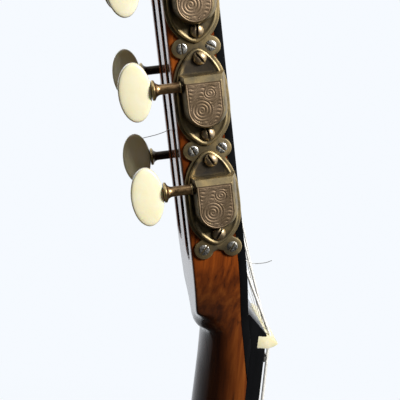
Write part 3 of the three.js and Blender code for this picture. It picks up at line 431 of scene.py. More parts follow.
def cut(obj, cutters, operation="DIFFERENCE", bevel=0):
    """Cuts an object by plain meshes given as (shape, place), and rounds the edges left."""
    for shape, place in cutters:
        tool = add_mesh("cutter", shape, place)
        clean(tool)
        modifier = obj.modifiers.new("cut", "BOOLEAN")
        modifier.operation, modifier.solver, modifier.object = operation, "EXACT", tool
        settle(obj)
        bpy.data.objects.remove(tool)
    if bevel:
        modifier = obj.modifiers.new("bevel", "BEVEL")
        modifier.width, modifier.segments = bevel * MM, 2
        modifier.limit_method, modifier.angle_limit = "ANGLE", radians(SHARP_DEGREES)
        settle(obj)


def loft(rings):
    """A closed skin through rings of the same number of points."""
    count = len(rings[0])
    last = (len(rings) - 1) * count
    faces = []
    for a in range(0, last, count):
        for i in range(count):
            j = (i + 1) % count
            faces.append((a + i, a + j, a + count + j, a + count + i))
    faces += [tuple(reversed(range(count))), tuple(range(last, last + count))]
    return [point for ring in rings for point in ring], faces


def turned(profile, sides=32):
    """A profile of (radius, height) pairs turned about z, closed by a flat face at each end."""
    return loft([[(x, y, height) for x, y in circle(0, 0, radius, sides)] for radius, height in profile])


def prism(outline, low, high):
    """An outline of (x, y) points made solid between two levels of z."""
    return loft([[(x, y, level) for x, y in outline] for level in (low, high)])


def front_prism(outline, near, far):
    """An outline of (x, z) points made solid between two depths of y."""
    return loft([[(x, depth, z) for x, z in outline] for depth in (near, far)])


def side_prism(outline, low, high):
    """An outline of (y, z) points made solid between two places of x."""
    return loft([[(x, y, z) for y, z in outline] for x in (low, high)])


def grid(wide, tall):
    """The faces of a grid of points given row by row, and the points around its rim."""
    starts = [row * wide + column for row in range(tall - 1) for column in range(wide - 1)]
    faces = [(a, a + 1, a + wide + 1, a + wide) for a in starts]
    rim = list(range(wide)) + [row * wide + wide - 1 for row in range(1, tall)]
    rim += [wide * tall - 2 - i for i in range(wide - 1)] + [row * wide for row in range(tall - 2, 0, -1)]
    return faces, rim


def slab(near, far, columns, rows):
    """The space between two surfaces y = near(x, z) and y = far(x, z)."""
    verts = [(x, surface(x, z), z) for surface in (near, far) for z in rows for x in columns]
    back = len(columns) * len(rows)
    quads, rim = grid(len(columns), len(rows))
    faces = [face for quad in quads for face in (quad, tuple(back + i for i in quad[::-1]))]
    return verts, faces + [(j, i, back + i, back + j) for i, j in zip(rim, rim[1:] + rim[:1])]


def band(outer, inner, near, far):
    """A closed band between two outlines of (x, z) points, from y = near(x, z) to y = far(x, z)."""
    rings = [
        [(a[0], near(*a), a[1]), (b[0], near(*b), b[1]), (b[0], far(*b), b[1]), (a[0], far(*a), a[1])]
        for a, b in zip(outer, inner)
    ]
    verts, faces = loft(rings)
    last = 4 * (len(rings) - 1)
    return verts, faces[:-2] + [(last + i, last + (i + 1) % 4, (i + 1) % 4, i) for i in range(4)]


def tube(points, radius, sides=10):
    """A round wire along a path, with flat ends."""
    points = [Vector(p) for p in points]
    rings = []
    across = None
    for i, point in enumerate(points):
        along = (points[min(i + 1, len(points) - 1)] - points[max(i - 1, 0)]).normalized()
        across = across - along * across.dot(along) if across else along.orthogonal()
        across = across.normalized()
        aside = along.cross(across)
        rings.append([tuple(point + across * a + aside * b) for a, b in circle(0, 0, radius, sides)])
    return loft(rings)


def inset(points, distance):
    """A counter-clockwise outline moved inwards, each corner along its own mitre."""
    moved = []
    for i, (x, y) in enumerate(points):
        (ax, ay), (bx, by) = points[i - 1], points[(i + 1) % len(points)]
        before, after = hypot(x - ax, y - ay), hypot(bx - x, by - y)
        n1 = (-(y - ay) / before, (x - ax) / before)
        n2 = (-(by - y) / after, (bx - x) / after)
        reach = distance / (1 + n1[0] * n2[0] + n1[1] * n2[1])
        moved.append((x + (n1[0] + n2[0]) * reach, y + (n1[1] + n2[1]) * reach))
    return moved


def stepped(outline, steps):
    """A skin over an outline, through (inset, level) steps, closed below and above."""
    return loft([[(x, y, level) for x, y in inset(outline, margin)] for margin, level in steps])


def joined(shapes, places=()):
    """Several shapes as one, each moved to its place where places are given."""
    verts, faces = [], []
    for (new_verts, new_faces), place in zip(shapes, places or [Matrix()] * len(shapes)):
        faces += [tuple(i + len(verts) for i in face) for face in new_faces]
        verts += [place @ Vector(v) for v in new_verts]
    return verts, faces


def rectangle(left, low, right, high):
    return [(left, low), (right, low), (right, high), (left, high)]


def arc(x, y, wide, high, start, end, steps):
    """Points on an ellipse's arc, from one angle in degrees to another."""
    turns = [radians(start + (end - start) * i / steps) for i in range(steps + 1)]
    return [(x + wide * cos(turn), y + high * sin(turn)) for turn in turns]


def circle(x, y, radius, sides):
    return arc(x, y, radius, radius, 0, 360, sides)[:-1]


def bezier(start, *curves, steps=12):
    """Points along lines and curves from start. Each curve is a list of its control points after the last point."""
    points = [start]
    for curve in curves:
        corners = [Vector(points[-1])] + [Vector(c) for c in curve]
        count = steps if len(curve) > 1 else 1
        for i in range(1, count + 1):
            row = corners
            while len(row) > 1:
                row = [a.lerp(b, i / count) for a, b in zip(row, row[1:])]
            points.append(tuple(row[0]))
    return points


def smooth_curve(table, steps):
    """A table's points with steps between each two, on a smooth curve through them all."""
    points = [Vector(p) for p in table]
    points = [points[0] * 2 - points[1]] + points + [points[-1] * 2 - points[-2]]
    curve = []
    for p0, p1, p2, p3 in zip(points, points[1:], points[2:], points[3:]):
        for i in range(steps):
            t = i / steps
            drift = (p2 - p0) * t + (2 * p0 - 5 * p1 + 4 * p2 - p3) * t**2 + (3 * p1 - p0 - 3 * p2 + p3) * t**3
            curve.append(tuple(p1 + drift / 2))
    return curve + [table[-1]]


def between(table, value):
    """The second column of a table at a value of its first column, which rises."""
    for (a, left), (b, right) in zip(table, table[1:]):
        if value <= b:
            t = min(max((value - a) / (b - a), 0), 1)
            return left + (right - left) * t
    return table[-1][1]


def smooth(low, high, value):
    t = min(max((value - low) / (high - low), 0), 1)
    return t * t * (3 - 2 * t)


def both_sides(half_outline):
    """A right half outline that runs upwards, closed by its mirror image."""
    return half_outline + [(-x, y) for x, y in half_outline[::-1] if abs(x) > 1e-6]


# Headstock and neck

THROAT_HALF, THROAT_FOOT = 23.4, -6
FLARE = bezier((THROAT_HALF, THROAT_FOOT), [(23.9, 5), (34.2, 10.5), (36.5, 24)], steps=24)
HEAD_TOP = bezier((36.5, 148), [(36.5, 152), (31.5, 153)], [(18.25, 157.5), (0, HEAD_LENGTH)], steps=16)
FLARE_WIDTHS = [(height, half) for half, height in FLARE]
WOOD_FRONT = FACE_THICKNESS + 0.1
SCARF_DEPTH = 15.5
SCARF_FOOT = 0.9

# Sections of the head and of the throat under it. Each has its height in front, its height on the head's back, or
# else its back's (y, z) in the neck's frame, and the power that makes it square or round
HEAD_SECTIONS = [(height, height, 46) for height in (170, 110, 60, 40, 30, 24, 21, 18, 15, 12, 9, 7, 6)]
THROAT_SECTIONS = [
    (5.2, 4.6, 26), (4.4, 3.4, 11), (3.6, 2.2, 6.5), (2.8, 1, 4.8), (2, -0.2, 3.9), (1.2, -1.4, 3.4), (0.3, -2.6, 3.1),
    (-0.6, -3.8, 2.9), (-1.6, (19.5, 6.8), 2.8), (-2.6, (18.3, 6.1), 2.72), (-3.6, (17.2, 5.4), 2.66),
    (-4.8, (16.6, 4.5), 2.6), (-6.5, (16.35, 3.2), 2.55), (-8.5, (16.25, 1.6), 2.5), (-11.5, (16.2, -0.6), 2.45),
    (-15, (16.2, -3.6), 2.4), (-19.5, (16.25, -7.2), 2.25),
]
HEEL_START, HEEL_RUN, HEEL_RISE = -320, 54, 62
NECK_DEPTHS = [(HEEL_START, 22.1), (-170, 20.4), (-60, 17.4), (-30, 16.6), (0, 16.2)]
NECK_POWER = 2.15


def head_point(depth, height):
    """(y, z) in the neck frame of a depth and a height in the headstock frame."""
    sine, cosine = sin(HEAD_ANGLE), cos(HEAD_ANGLE)
    return HEAD_FOOT[0] + depth * cosine + height * sine, HEAD_FOOT[1] - depth * sine + height * cosine


def section(front, back, half, power, steps=52):
    """A section between a front and a back (y, z) point: flat in front and, as the power falls, rounder behind."""
    ring = []
    for i in range(steps + 1):
        across = cos(pi * i / steps)
        behind = sin(pi * min(i, steps - i) / steps)
        x = copysign(abs(across) ** (2 / power) * half, across)
        t = abs(behind) ** (2 / power)
        ring.append((x, front[0] + (back[0] - front[0]) * t, front[1] + (back[1] - front[1]) * t))
    return ring


def head_and_neck_rings():
    """Sections of the one carved form that headstock and neck make, from the top down to the heel."""
    rings = []
    for height, back, power in HEAD_SECTIONS + THROAT_SECTIONS:
        if not isinstance(back, tuple):
            back = head_point(HEAD_THICKNESS, back)
        narrowed = THROAT_HALF + 0.026 * (height - THROAT_FOOT)
        half = between(FLARE_WIDTHS, height) if height > THROAT_FOOT else narrowed
        rings.append(section(head_point(WOOD_FRONT, height), back, half, power))
    for z in (-10, -16, -30, -60, -90, -130, -170, -240, -300, HEEL_START):
        rings.append(section((0, z), (between(NECK_DEPTHS, z), z), board_half(z), NECK_POWER))
    for i in range(1, 19):
        t = i / 18
        z = HEEL_START - HEEL_RUN * t
        depth = NECK_DEPTHS[0][1] + HEEL_RISE * max(0, (t - 0.1) / 0.9) ** 3.4
        swell = 1 - max(0, depth - 30) * 0.0045
        rings.append(section((0, z), (depth, z), board_half(z) * swell, NECK_POWER + 0.35 * t))
    return rings


def slot_cutters():
    """The two string slots with round ends, and the ramps that let the strings down into them."""
    cutters = []
    wide, round_end = SLOT_WIDTH / 2, SLOT_WIDTH / 2 * 0.55
    ramp = [(-5, 10), (-0.5, 15.5), (6.2, 30), (6.2, 37), (-5, 37)]
    for x in (-SLOT_CENTRE, SLOT_CENTRE):
        ends = arc(x, SLOT_FOOT + SLOT_LENGTH - round_end, wide, round_end, 0, 180, 16)
        ends += arc(x, SLOT_FOOT + round_end, wide, round_end, 180, 360, 16)
        cutters.append((front_prism(ends, -5, HEAD_THICKNESS + 5), HEAD))
        cutters.append((side_prism(ramp, x - wide * 0.94, x + wide * 0.94), HEAD))
    return cutters


def roller_bores():
    inner = -RIM_WIDTH - SLOT_WIDTH
    shape = turned([(2.7, inner - 7.3), (2.7, -RIM_WIDTH - 2), (3.6, -RIM_WIDTH - 2), (3.6, 3)], 28)
    return [(shape, tuner_frame(side, cell_height(row) - GEAR_DROP)) for side, row, number in TUNERS]


def below_scarf(gap):
    """All that lies behind the scarf's plane and below its foot."""
    return side_prism(rectangle(SCARF_DEPTH + gap, -900, 300, SCARF_FOOT - gap), -80, 80), HEAD


# Headstock, neck and veneer
whole = loft(head_and_neck_rings())
head = piece("headstock_wood", whole, NECK, "neck_wood", "headstock")
lower = side_prism(rectangle(-40, -700, 160, -88), -80, 80)
above = both_sides([(80, -900), (80, 120), (HEAD_WIDTH / 2 + 0.5, 120)] + HEAD_TOP)
cut(head, [below_scarf(0), (lower, NECK)])
cut(head, [(front_prism(above, -20, 60), HEAD)], "INTERSECT")
cut(head, roller_bores() + slot_cutters(), bevel=0.35)
clean(head, point=HEAD @ Vector((0, SCARF_DEPTH, 0)), normal=HEAD.col[1].to_3d().normalized())
neck = piece("neck_shaft", whole, NECK, "neck_wood", "neck")
cut(neck, [below_scarf(0.04)], "INTERSECT")
reach, surface = 104, BODY_SETBACK - TOP_ARCH - 0.15
wedge = [(0, JOINT_Z + 12), (0, JOINT_Z - reach), (surface + reach * tan(BODY_TILT), JOINT_Z - reach)]
wedge += [(surface, JOINT_Z), (surface, JOINT_Z + 12)]
cut(neck, [(front_prism(rectangle(-80, 0.1, 80, -300), -60, 160), BOX)])
cut(neck, [(side_prism(wedge, -27.6, 27.6), NECK)], "UNION")
outline = both_sides([(THROAT_HALF, -26)] + FLARE + HEAD_TOP)
veneer = front_prism(outline, 0, FACE_THICKNESS)
veneer = piece("headstock_veneer", veneer, HEAD, "black_wood", "headstock_faceplate")
cut(veneer, [(side_prism(rectangle(-60, -200, 0.02, 60), -80, 80), NECK)] + slot_cutters(), bevel=0.3)


# Fingerboard, frets and nut

BOARD_BASS_END = fret_z(BASS_FRETS) - 8
BOARD_END = fret_z(ALL_FRETS) - 5
FRET_TOP = BOARD_FACE - FRET_HEIGHT
STRING_REST = FRET_TOP - 0.05
NUT_LOW, NUT_HIGH = 3.7, 8.1
NUT_SEAT, NUT_TOP = -2.3, -9.8
NUT_CROWN = 3.6
DOT_FRETS = [5, 7, 10, 12, 15]


def fret(z, foot, low, high, half_width=1.25):
    """A fret with a rounded crown, from one place across the board to another."""
    turns = [pi * i / 8 for i in range(9)]
    rise = foot - 0.1 - FRET_TOP
    crown = [(foot - 0.1 - rise * sin(turn), z - half_width * cos(turn)) for turn in turns]
    return side_prism([(foot, z - half_width)] + crown + [(foot, z + half_width)], low, high)


# Fingerboard with its frets and dots
meets_glue = HEAD_FOOT[1] - HEAD_FOOT[0] / tan(HEAD_ANGLE)
profile = [(BOARD_FACE, BOARD_END), (0, BOARD_END), (0, meets_glue + 0.1)]
profile += [(HEAD_FOOT[0] - 0.03, HEAD_FOOT[1]), head_point(-0.03, 1.6), (-4.7, 9.7), (BOARD_FACE, 8.9)]
board = piece("fingerboard_wood", side_prism(profile, -40, 40), NECK, "black_wood", "fingerboard")
end = BOARD_BASS_END
plan = [(23.2, 20), (-23.2, 20), (-board_half(0), 0), (-board_half(end), end)]
plan += bezier((-4, end - 2), [(0, end - 4), (2, end - 8), (2, end - 14)])
plan += bezier((3, BOARD_END), [(8, BOARD_END - 1), (16, BOARD_END - 1), (22, BOARD_END)])
plan += [(board_half(BOARD_END), BOARD_END + 3), (board_half(0), 0)]
cut(board, [(front_prism(plan, -30, 30), NECK)], "INTERSECT")
nut_seat = rectangle(-20, NUT_LOW - 0.1, NUT_SEAT, NUT_HIGH + 0.1)
cut(board, [(side_prism(nut_seat, -40, 40), NECK)], bevel=0.25)
frets = []
for number in range(1, ALL_FRETS + 1):
    z = fret_z(number)
    low = 2.4 if number > BASS_FRETS else 0.3 - board_half(z)
    frets.append(fret(z, BOARD_FACE + 0.1, low, board_half(z) - 0.3))
piece("frets", joined(frets), NECK, "screw_steel")
half = board_half(0) - 0.1
zero_fret = fret(0, BOARD_FACE - 0.02, -half, half, 1.6)
piece("zero_fret_crown", zero_fret, NECK, "screw_steel", "zero_fret")
dots = []
for number in DOT_FRETS:
    z = (fret_z(number) + fret_z(number - 1)) / 2
    for x in (-9, 9) if number == 12 else (0,):
        dots.append(front_prism(circle(x, z, 3, 32), BOARD_FACE - 0.05, BOARD_FACE + 0.5))
piece("position_dots", joined(dots), NECK, "ivory_strip")


def string_x(index, spread):
    return -spread / 2 + spread * index / 5


# Nut
middle, radius = (NUT_LOW + NUT_HIGH) / 2, (NUT_HIGH - NUT_LOW) / 2
turns = [cos(pi * i / 14) for i in range(15)]
crown = [(NUT_TOP + NUT_CROWN * abs(across) ** 1.7, middle + radius * across) for across in turns]
blank = side_prism([(NUT_SEAT, NUT_LOW), (NUT_SEAT, NUT_HIGH)] + crown, -board_half(0), board_half(0))
nut = piece("nut_bone", blank, NECK, "bone", "nut")
slots = []
for index, diameter in enumerate(STRING_DIAMETERS):
    x, half = string_x(index, SPREAD_NUT), diameter / 2 + 0.2
    slots.append((side_prism(rectangle(-20, 0, STRING_REST + 0.15, 12), x - half, x + half), NECK))
cut(nut, slots, bevel=0.2)


# Tuners

# Half the width of a cover's flange at heights from the middle of its cell, from its foot to its pointed top
FLANGE = smooth_curve([
    (-16.0, 0), (-15.6, 1.5), (-14.9, 2.7), (-14.2, 3.6), (-13.2, 4.7), (-12, 5.75), (-10.5, 6.75), (-8.8, 7.55),
    (-6.8, 8.05), (-4, 8.35), (-0.8, 8.4), (2, 8.35), (4.4, 8.2), (6.5, 7.9), (8.1, 7.55), (9.5, 7.1), (11, 6.45),
    (12.6, 5.5), (14, 4.5), (15.2, 3.45), (16.2, 2.35), (16.9, 1.25), (17.25, 0),
], 4)
FLANGE_RIGHT = [(half, height) for height, half in FLANGE]
PLATE_MARGIN = 1.05
PLATE_STEPS = 260
PLATE_NECK = 2.0
EAR_RADIUS = 3.4
EAR_HEIGHTS = [FIRST_EARS + TUNER_PITCH * row for row in range(4)]


def plate_outline():
    """The base plate: a flange's shape with a margin for each cover, and round ears at each end and between."""
    ear = EAR_SPACING / 2
    grown = [(height, half) for half, height in inset(FLANGE_RIGHT, -PLATE_MARGIN)]

    def half_width(height):
        widths = [PLATE_NECK]
        for row in range(3):
            rise = height - cell_height(row)
            if grown[0][0] < rise < grown[-1][0]:
                widths.append(between(grown, rise))
        for middle in EAR_HEIGHTS:
            if abs(height - middle) < EAR_RADIUS:
                widths.append(ear + sqrt(EAR_RADIUS**2 - (height - middle) ** 2))
        return max(widths)

    low, high = EAR_HEIGHTS[0], EAR_HEIGHTS[-1]
    heights = [low + (high - low) * i / PLATE_STEPS for i in range(1, PLATE_STEPS)]
    right = [(0, low - 0.4)] + arc(ear, low, EAR_RADIUS, EAR_RADIUS, -160, 0, 16)
    right += [(half_width(height), height) for height in heights]
    right += arc(ear, high, EAR_RADIUS, EAR_RADIUS, 0, 160, 16)
    return right + [(0, high + 0.4)] + [(-x, y) for x, y in right[:0:-1]]


# Base plates
steps = [(0.1, 0), (0, 0.15), (0, 0.75), (0.15, 0.95), (0.35, 1)]
shape = stepped(plate_outline(), [(margin, PLATE_LEVEL + level) for margin, level in steps])
for side, name in SIDE_NAMES.items():
    piece(f"base_plate_{name}", shape, tuner_frame(side, 0), "aged_brass", f"tuner_plate_{name}")


EAR_SCREW = [(1.2, 0.6), (1.85, 1.16), (1.85, 1.22), (1.4, 1.34)]
COVER_SCREW = [(2.2, 1.9), (2.42, 2.3), (2.32, 2.8), (1.95, 3.3), (1.3, 3.68), (0.6, 3.84)]
EAR_SLOTS = [-45, -50, 65, 45, 90, 30, 70, -35]
COVER_SLOTS = [125, 60, 80, 55, 95, 70]

# Screws
ears = [(end * EAR_SPACING / 2, height) for height in EAR_HEIGHTS for end in (1, -1)]
tops = [(-0.7, cell_height(row) + height) for row in range(3) for height in (-11.9, 13.9)]
kinds = {
    "plate": (EAR_SCREW, ears, EAR_SLOTS, "screw_steel", 0.25, 0.95),
    "cover": (COVER_SCREW, tops, COVER_SLOTS, "screw_brass", 0.4, 2.75),
}
for side, name in SIDE_NAMES.items():
    for kind, (profile, spots, angles, look, half, level) in kinds.items():
        places = [
            Matrix.Translation((*spot, 0)) @ Matrix.Rotation(radians(angle), 4, "Z")
            for spot, angle in zip(spots, angles)
        ]
        heads = joined([turned(profile, 28)] * len(places), places)
        slots = joined([prism(rectangle(-4, -half, 4, half), level, 9)] * len(places), places)
        screws = piece(f"{kind}_screws_{name}", heads, tuner_frame(side, 0), look)
        cut(screws, [(slots, tuner_frame(side, 0))], bevel=0.06)


# A cover's engraved face: a semicircle with straight sides above it, from the middle of the cell
FACE_MIDDLE, FACE_ROUND, FACE_TOP = -0.5, -2.85, 6.2
FACE_HALF = 5.92
FACE_LEVEL = 8.0
FACE_COLUMNS, ROUND_ROWS, STRAIGHT_ROWS = 34, 38, 56
GROOVE_DEPTH = 0.1
BORDER_MARGIN = 0.45
RING_PITCH = 1.05
CURLS = [(1.4, -3.1, 3.9, RING_PITCH, 1), (-1.8, 2.4, 2.3, RING_PITCH * 0.8, -1)]

# The housing's walls from the flange up: level, middle, half width, top, foot
WALLS = [
    (1.5, -0.8, 7.75, 8.9, -10.1), (2.3, -0.8, 7.6, 8.8, -10.0), (5.5, -0.75, 6.95, 8.6, -9.6),
    (6.8, -0.72, 6.6, 8.4, -9.35), (7.1, -0.7, 6.5, 8.15, -9.25),
    (7.85, FACE_MIDDLE + 0.03, 6.15, 6.45, -8.95), (7.97, FACE_MIDDLE, 6.02, 6.3, -8.85),
]


def groove(x, y):
    """How deep the engraving goes at a point of the face, from 0 to 1: a border, two curls and waves around them."""
    rounded = FACE_HALF - hypot(x, y - FACE_ROUND)
    margin = rounded if y < FACE_ROUND else min(FACE_HALF - abs(x), FACE_TOP - y)
    border = 1 - smooth(0.08, 0.22, abs(margin - BORDER_MARGIN))
    phases = [(1, (y + 0.55 * x + 0.5 * sin(1.7 * x + 0.6 * y)) / (RING_PITCH * 0.95))]
    for middle_x, middle_y, reach, pitch, hand in CURLS:
        dx, dy = x - middle_x, y - middle_y
        away = hypot(dx, dy)
        phases.append((away / reach, away / pitch + hand * atan2(dy, dx) / (2 * pi)))
    phase = min(phases, key=lambda pair: pair[0])[1]
    line = 1 - smooth(0.08, 0.24, abs(phase - floor(phase) - 0.5))
    return max(border, line * smooth(0.75, 0.95, margin))


def engraved_housing():
    """The cover's housing with its engraved face, the engraving's depth at each point and the face's mesh faces."""
    rise = FACE_TOP - FACE_ROUND
    rows = arc(0, FACE_ROUND, FACE_HALF, FACE_HALF, -82, 0, ROUND_ROWS)[:-1]
    rows += [(FACE_HALF, FACE_ROUND + rise * i / STRAIGHT_ROWS) for i in range(STRAIGHT_ROWS + 1)]
    wide = 2 * FACE_COLUMNS + 1
    points = [(half * (j / FACE_COLUMNS - 1), y) for half, y in rows for j in range(wide)]
    depths = [groove(x, y) for x, y in points]
    verts = [(x + FACE_MIDDLE, y, FACE_LEVEL - GROOVE_DEPTH * depth) for (x, y), depth in zip(points, depths)]
    faces, rim = grid(wide, len(rows))
    engraved = len(faces)
    upper = rim
    for level, middle, half, top, foot in WALLS[::-1]:
        lower = list(range(len(verts), len(verts) + len(rim)))
        for index in rim:
            x, y = verts[index][0] - FACE_MIDDLE, verts[index][1] - FACE_ROUND
            stretch = (top - FACE_ROUND) / rise if y > 0 else (FACE_ROUND - foot) / FACE_HALF
            verts.append((middle + x * half / FACE_HALF, FACE_ROUND + y * stretch, level))
            depths.append(0)
        for k in range(len(rim)):
            j = (k + 1) % len(rim)
            faces.append((lower[k], lower[j], upper[j], upper[k]))
        upper = lower
    faces.append(tuple(reversed(upper)))
    return (verts, faces), depths, engraved


# Covers
right = FLANGE_RIGHT
bead = [(0, COVER_LEVEL), (0, 1.85), (0.2, 2.15), (0.55, 2.3), (0.95, 2.2), (1.3, 2.0), (1.6, 1.95)]
flange = stepped(right + [(-half, height) for half, height in right[-2:0:-1]], bead)
housing, depths, engraved = engraved_housing()
shape = joined([housing, flange])
for side, row, number in TUNERS:
    place = tuner_frame(side, cell_height(row))
    cover = piece(f"engraved_cover_{number}", shape, place, "aged_brass", f"tuner_cover_{number}", sharp=50)
    cover.data.materials.append(LOOKS["engraved_brass"])
    attribute = cover.data.attributes.new("groove", "FLOAT", "POINT")
    attribute.data.foreach_set("value", depths + [0.0] * len(flange[0]))
    for face in cover.data.polygons[:engraved]:
        face.material_index = 1


COLLAR = [
    (1.2, -3), (1.2, 0), (2.9, 0), (3.4, 0.2), (3.5, 0.6), (3.4, 1.0), (3.0, 1.2), (2.5, 1.45), (2.1, 1.9), (1.8, 2.6),
    (1.75, 3.4),
]
FERRULE = [(1.75, -7.4), (2.0, -7.3), (2.0, -6.9), (1.8, -6.75), (1.25, -6.75), (1.25, 5.7)]

# Worm shafts
collar = -(BUTTON_DEPTH - AXIS_DEPTH) + 5.6
shape = turned([(radius, collar + height) for radius, height in COLLAR] + FERRULE)
forwards = Matrix(((0, 0, -1), (1, 0, 0), (0, 1, 0))).to_4x4()
for side, row, number in TUNERS:
    place = tuner_frame(side, cell_height(row) + WORM_RISE) @ Matrix.Translation((0, 0, WORM_HEIGHT)) @ forwards
    # The treble side's shafts take the darkened copy of the brass: painted shade.
    look = "shaft_brass" if side < 0 else "painted_shade_shaft_brass"
    piece(f"shaft_{number}", shape, place, look, f"worm_shaft_{number}", f"worm_{number}")


# How far along the head a button sits off its shaft, and how far it is turned about it in degrees
BUTTON_PLACES = {1: (0, 14), 2: (-0.3, 0), 3: (0, -10), 4: (0, 0), 5: (0, 5), 6: (-0.75, 0)}
BUTTON_ALONG, BUTTON_ACROSS, BUTTON_THICK = 10.1, 5.65, 2.15
BUTTON_LEVELS = [
    (0.02, 1.0), (0.35, 0.985), (0.62, 0.94), (0.82, 0.87), (0.91, 0.81), (0.955, 0.74), (0.982, 0.62), (0.996, 0.42),
    (1.0, 0.2),
]

# Buttons
levels = BUTTON_LEVELS + [(size, -level) for size, level in BUTTON_LEVELS[::-1]]
rings = [(arc(0, 0, size * BUTTON_ACROSS, size * BUTTON_ALONG, 0, 360, 64), level) for size, level in levels]
shape = loft([[(x, y, level * BUTTON_THICK) for x, y in ring[:-1]] for ring, level in rings])
for side, row, number in TUNERS:
    shift, turn = BUTTON_PLACES[number]
    place = tuner_frame(side, cell_height(row) + WORM_RISE + shift, BUTTON_DEPTH)
    place = place @ Matrix.Translation((0, 0, WORM_HEIGHT)) @ Matrix.Rotation(radians(turn), 4, "X")
    piece(f"button_{number}", shape, place, "cream_button", f"tuner_button_{number}", f"worm_{number}")


ROLLER_FLANGE = [(3.7, 0.4), (3.9, 0.6), (3.9, 0.9), (3.3, 1.5), (2.9, 2.4)]

# String rollers
outer, inner = -RIM_WIDTH, -RIM_WIDTH - SLOT_WIDTH
profile = [(2.3, inner - 6.7), (2.3, inner + 0.4)] + [(radius, inner + x) for radius, x in ROLLER_FLANGE]
profile += [(radius, outer - x) for radius, x in ROLLER_FLANGE[::-1]] + [(3.15, outer - 0.4), (3.15, 2.6)]
for side, row, number in TUNERS:
    place = tuner_frame(side, cell_height(row) - GEAR_DROP)
    name = f"roller_{number}"
    piece(name, turned(profile), place, "shaft_brass", f"string_{name}", name)


# Strings

BRIDGE_IN_BOX = BRIDGE_Z - JOINT_Z
BRIDGE_TOP = FRET_TOP - ACTION_AT_BRIDGE
TAILPIECE_TOP = BRIDGE_IN_BOX - 78
TAILPIECE_LIFT = -13
BARREL_RADIUS = 2.9
WOUND_STRINGS = 4
COIL_STEPS = 28

# Each string from the tailpiece to its roller, and the turns wound on the roller
tuners = TUNERS[:3] + TUNERS[:2:-1]
for index, (name, diameter, (side, row, number)) in enumerate(zip(STRING_NAMES, STRING_DIAMETERS, tuners)):
    radius = diameter / 2
    look = "wound_string" if index < WOUND_STRINGS else "plain_string"
    at_nut, rest = string_x(index, SPREAD_NUT), STRING_REST - radius - 0.1
    barrel_height = cell_height(row) - GEAR_DROP
    reach = BARREL_RADIUS + radius + 0.05
    in_slot = side * (SLOT_CENTRE + (1 - row) * 2.2)
    anchor = (string_x(index, SPREAD_TAIL), TAILPIECE_LIFT - 3.6, TAILPIECE_TOP - 1.5)
    path = [BOX @ Vector(anchor) / MM]
    path += [(string_x(index, SPREAD_BRIDGE), BRIDGE_TOP - radius - 0.15, BRIDGE_Z)]
    path += [(at_nut, rest, z) for z in (0, NUT_LOW, NUT_HIGH)]
    path += [HEAD @ Vector((in_slot, AXIS_DEPTH - reach - 0.25, barrel_height)) / MM]
    piece(f"string_{index + 1}", tube(path, radius), NECK, look, f"string_{name}")
    turns = 5.25 if diameter < 0.6 else 3.25
    pitch = -side * diameter * 1.04
    coil = []
    for i in range(int(turns * COIL_STEPS)):
        angle = 2 * pi * i / COIL_STEPS
        along = in_slot + pitch * (angle / (2 * pi) + 0.6)
        coil.append((along, AXIS_DEPTH - reach * cos(angle), barrel_height + reach * sin(angle)))
    piece(f"winding_{number}", tube(coil, radius, 8), HEAD, look, body=f"roller_{number}")


LOOSE_ENDS = {
    "bass": [
        (-19, 5.6, 36), (-18.6, 4.5, 30), (-18, 1.5, 23.5), (-17.8, -3.4, 18.6), (-17.7, -8.5, 17.8),
        (-17.7, -11.5, 18.3),
    ],
    "treble": [(17.2, 12, 74), (17.4, 14.5, 70.5), (17.6, 18.5, 66.6), (17.7, 23, 65.1), (17.7, 29.1, 64.3)],
}

# Loose string ends
for name, points in LOOSE_ENDS.items():
    wire = tube(smooth_curve(points, 6), 0.14, 8)
    piece(f"loose_end_{name}", wire, HEAD, "screw_steel")


# Sound box

TOP_THICKNESS, BACK_THICKNESS, RIB_THICKNESS = 2.6, 2.4, 2.2
PLIAGE_Z = BRIDGE_IN_BOX - 10
HOLE_HEIGHT, HOLE_HALF_WIDTH, HOLE_HALF_LENGTH = -168, 30, 42
BRACES = [-98, -226, -262, -335, -395]


def box_outline():
    """The sound box seen from the front, counter-clockwise from the neck joint, with its cutaway."""
    upper, waist, lower = UPPER_BOUT / 2, WAIST / 2, LOWER_BOUT / 2
    joint = board_half(JOINT_Z) + 0.4
    return bezier(
        (0, 0),
        [(-joint, 0)],
        [(-80, 2), (-upper, -28), (-upper, -98)],
        [(-upper, -138), (-waist, -152), (-waist, -192)],
        [(-waist, -238), (-lower, -262), (-lower, -345)],
        [(-lower, -424), (-118, -BODY_LENGTH), (0, -BODY_LENGTH)],
        [(118, -BODY_LENGTH), (lower, -424), (lower, -345)],
        [(lower, -262), (waist, -238), (waist, -192)],
        [(waist, -150), (upper + 3, -120), (124, -46)],
        [(104, -70), (72, -78), (48, -68)],
        [(36, -63), (joint + 1.4, -56), (joint + 1, -44)],
        [(joint, 0)],
        steps=20,
    )


def arch(x):
    return 1 - (x / (LOWER_BOUT / 2)) ** 2


def top_y(x, z):
    return -TOP_ARCH * arch(x) + max(0, PLIAGE_Z - z) * tan(radians(1.6))


def back_y(x, z):
    return DEPTH_AT_NECK + (DEPTH_AT_TAIL - DEPTH_AT_NECK) * -z / BODY_LENGTH + BACK_ARCH * arch(x)


def top(distance):
    """The surface that lies a distance behind the top's."""
    return lambda x, z: top_y(x, z) + distance


def back(distance):
    return lambda x, z: back_y(x, z) + distance


def curved_slab(near, far):
    step = 8
    rows = [12 - step * i for i in range(32)] + [PLIAGE_Z - step * i for i in range(-5, 22)]
    return slab(near, far, [-208 + step * i for i in range(53)], sorted({round(z, 3) for z in rows}, reverse=True))


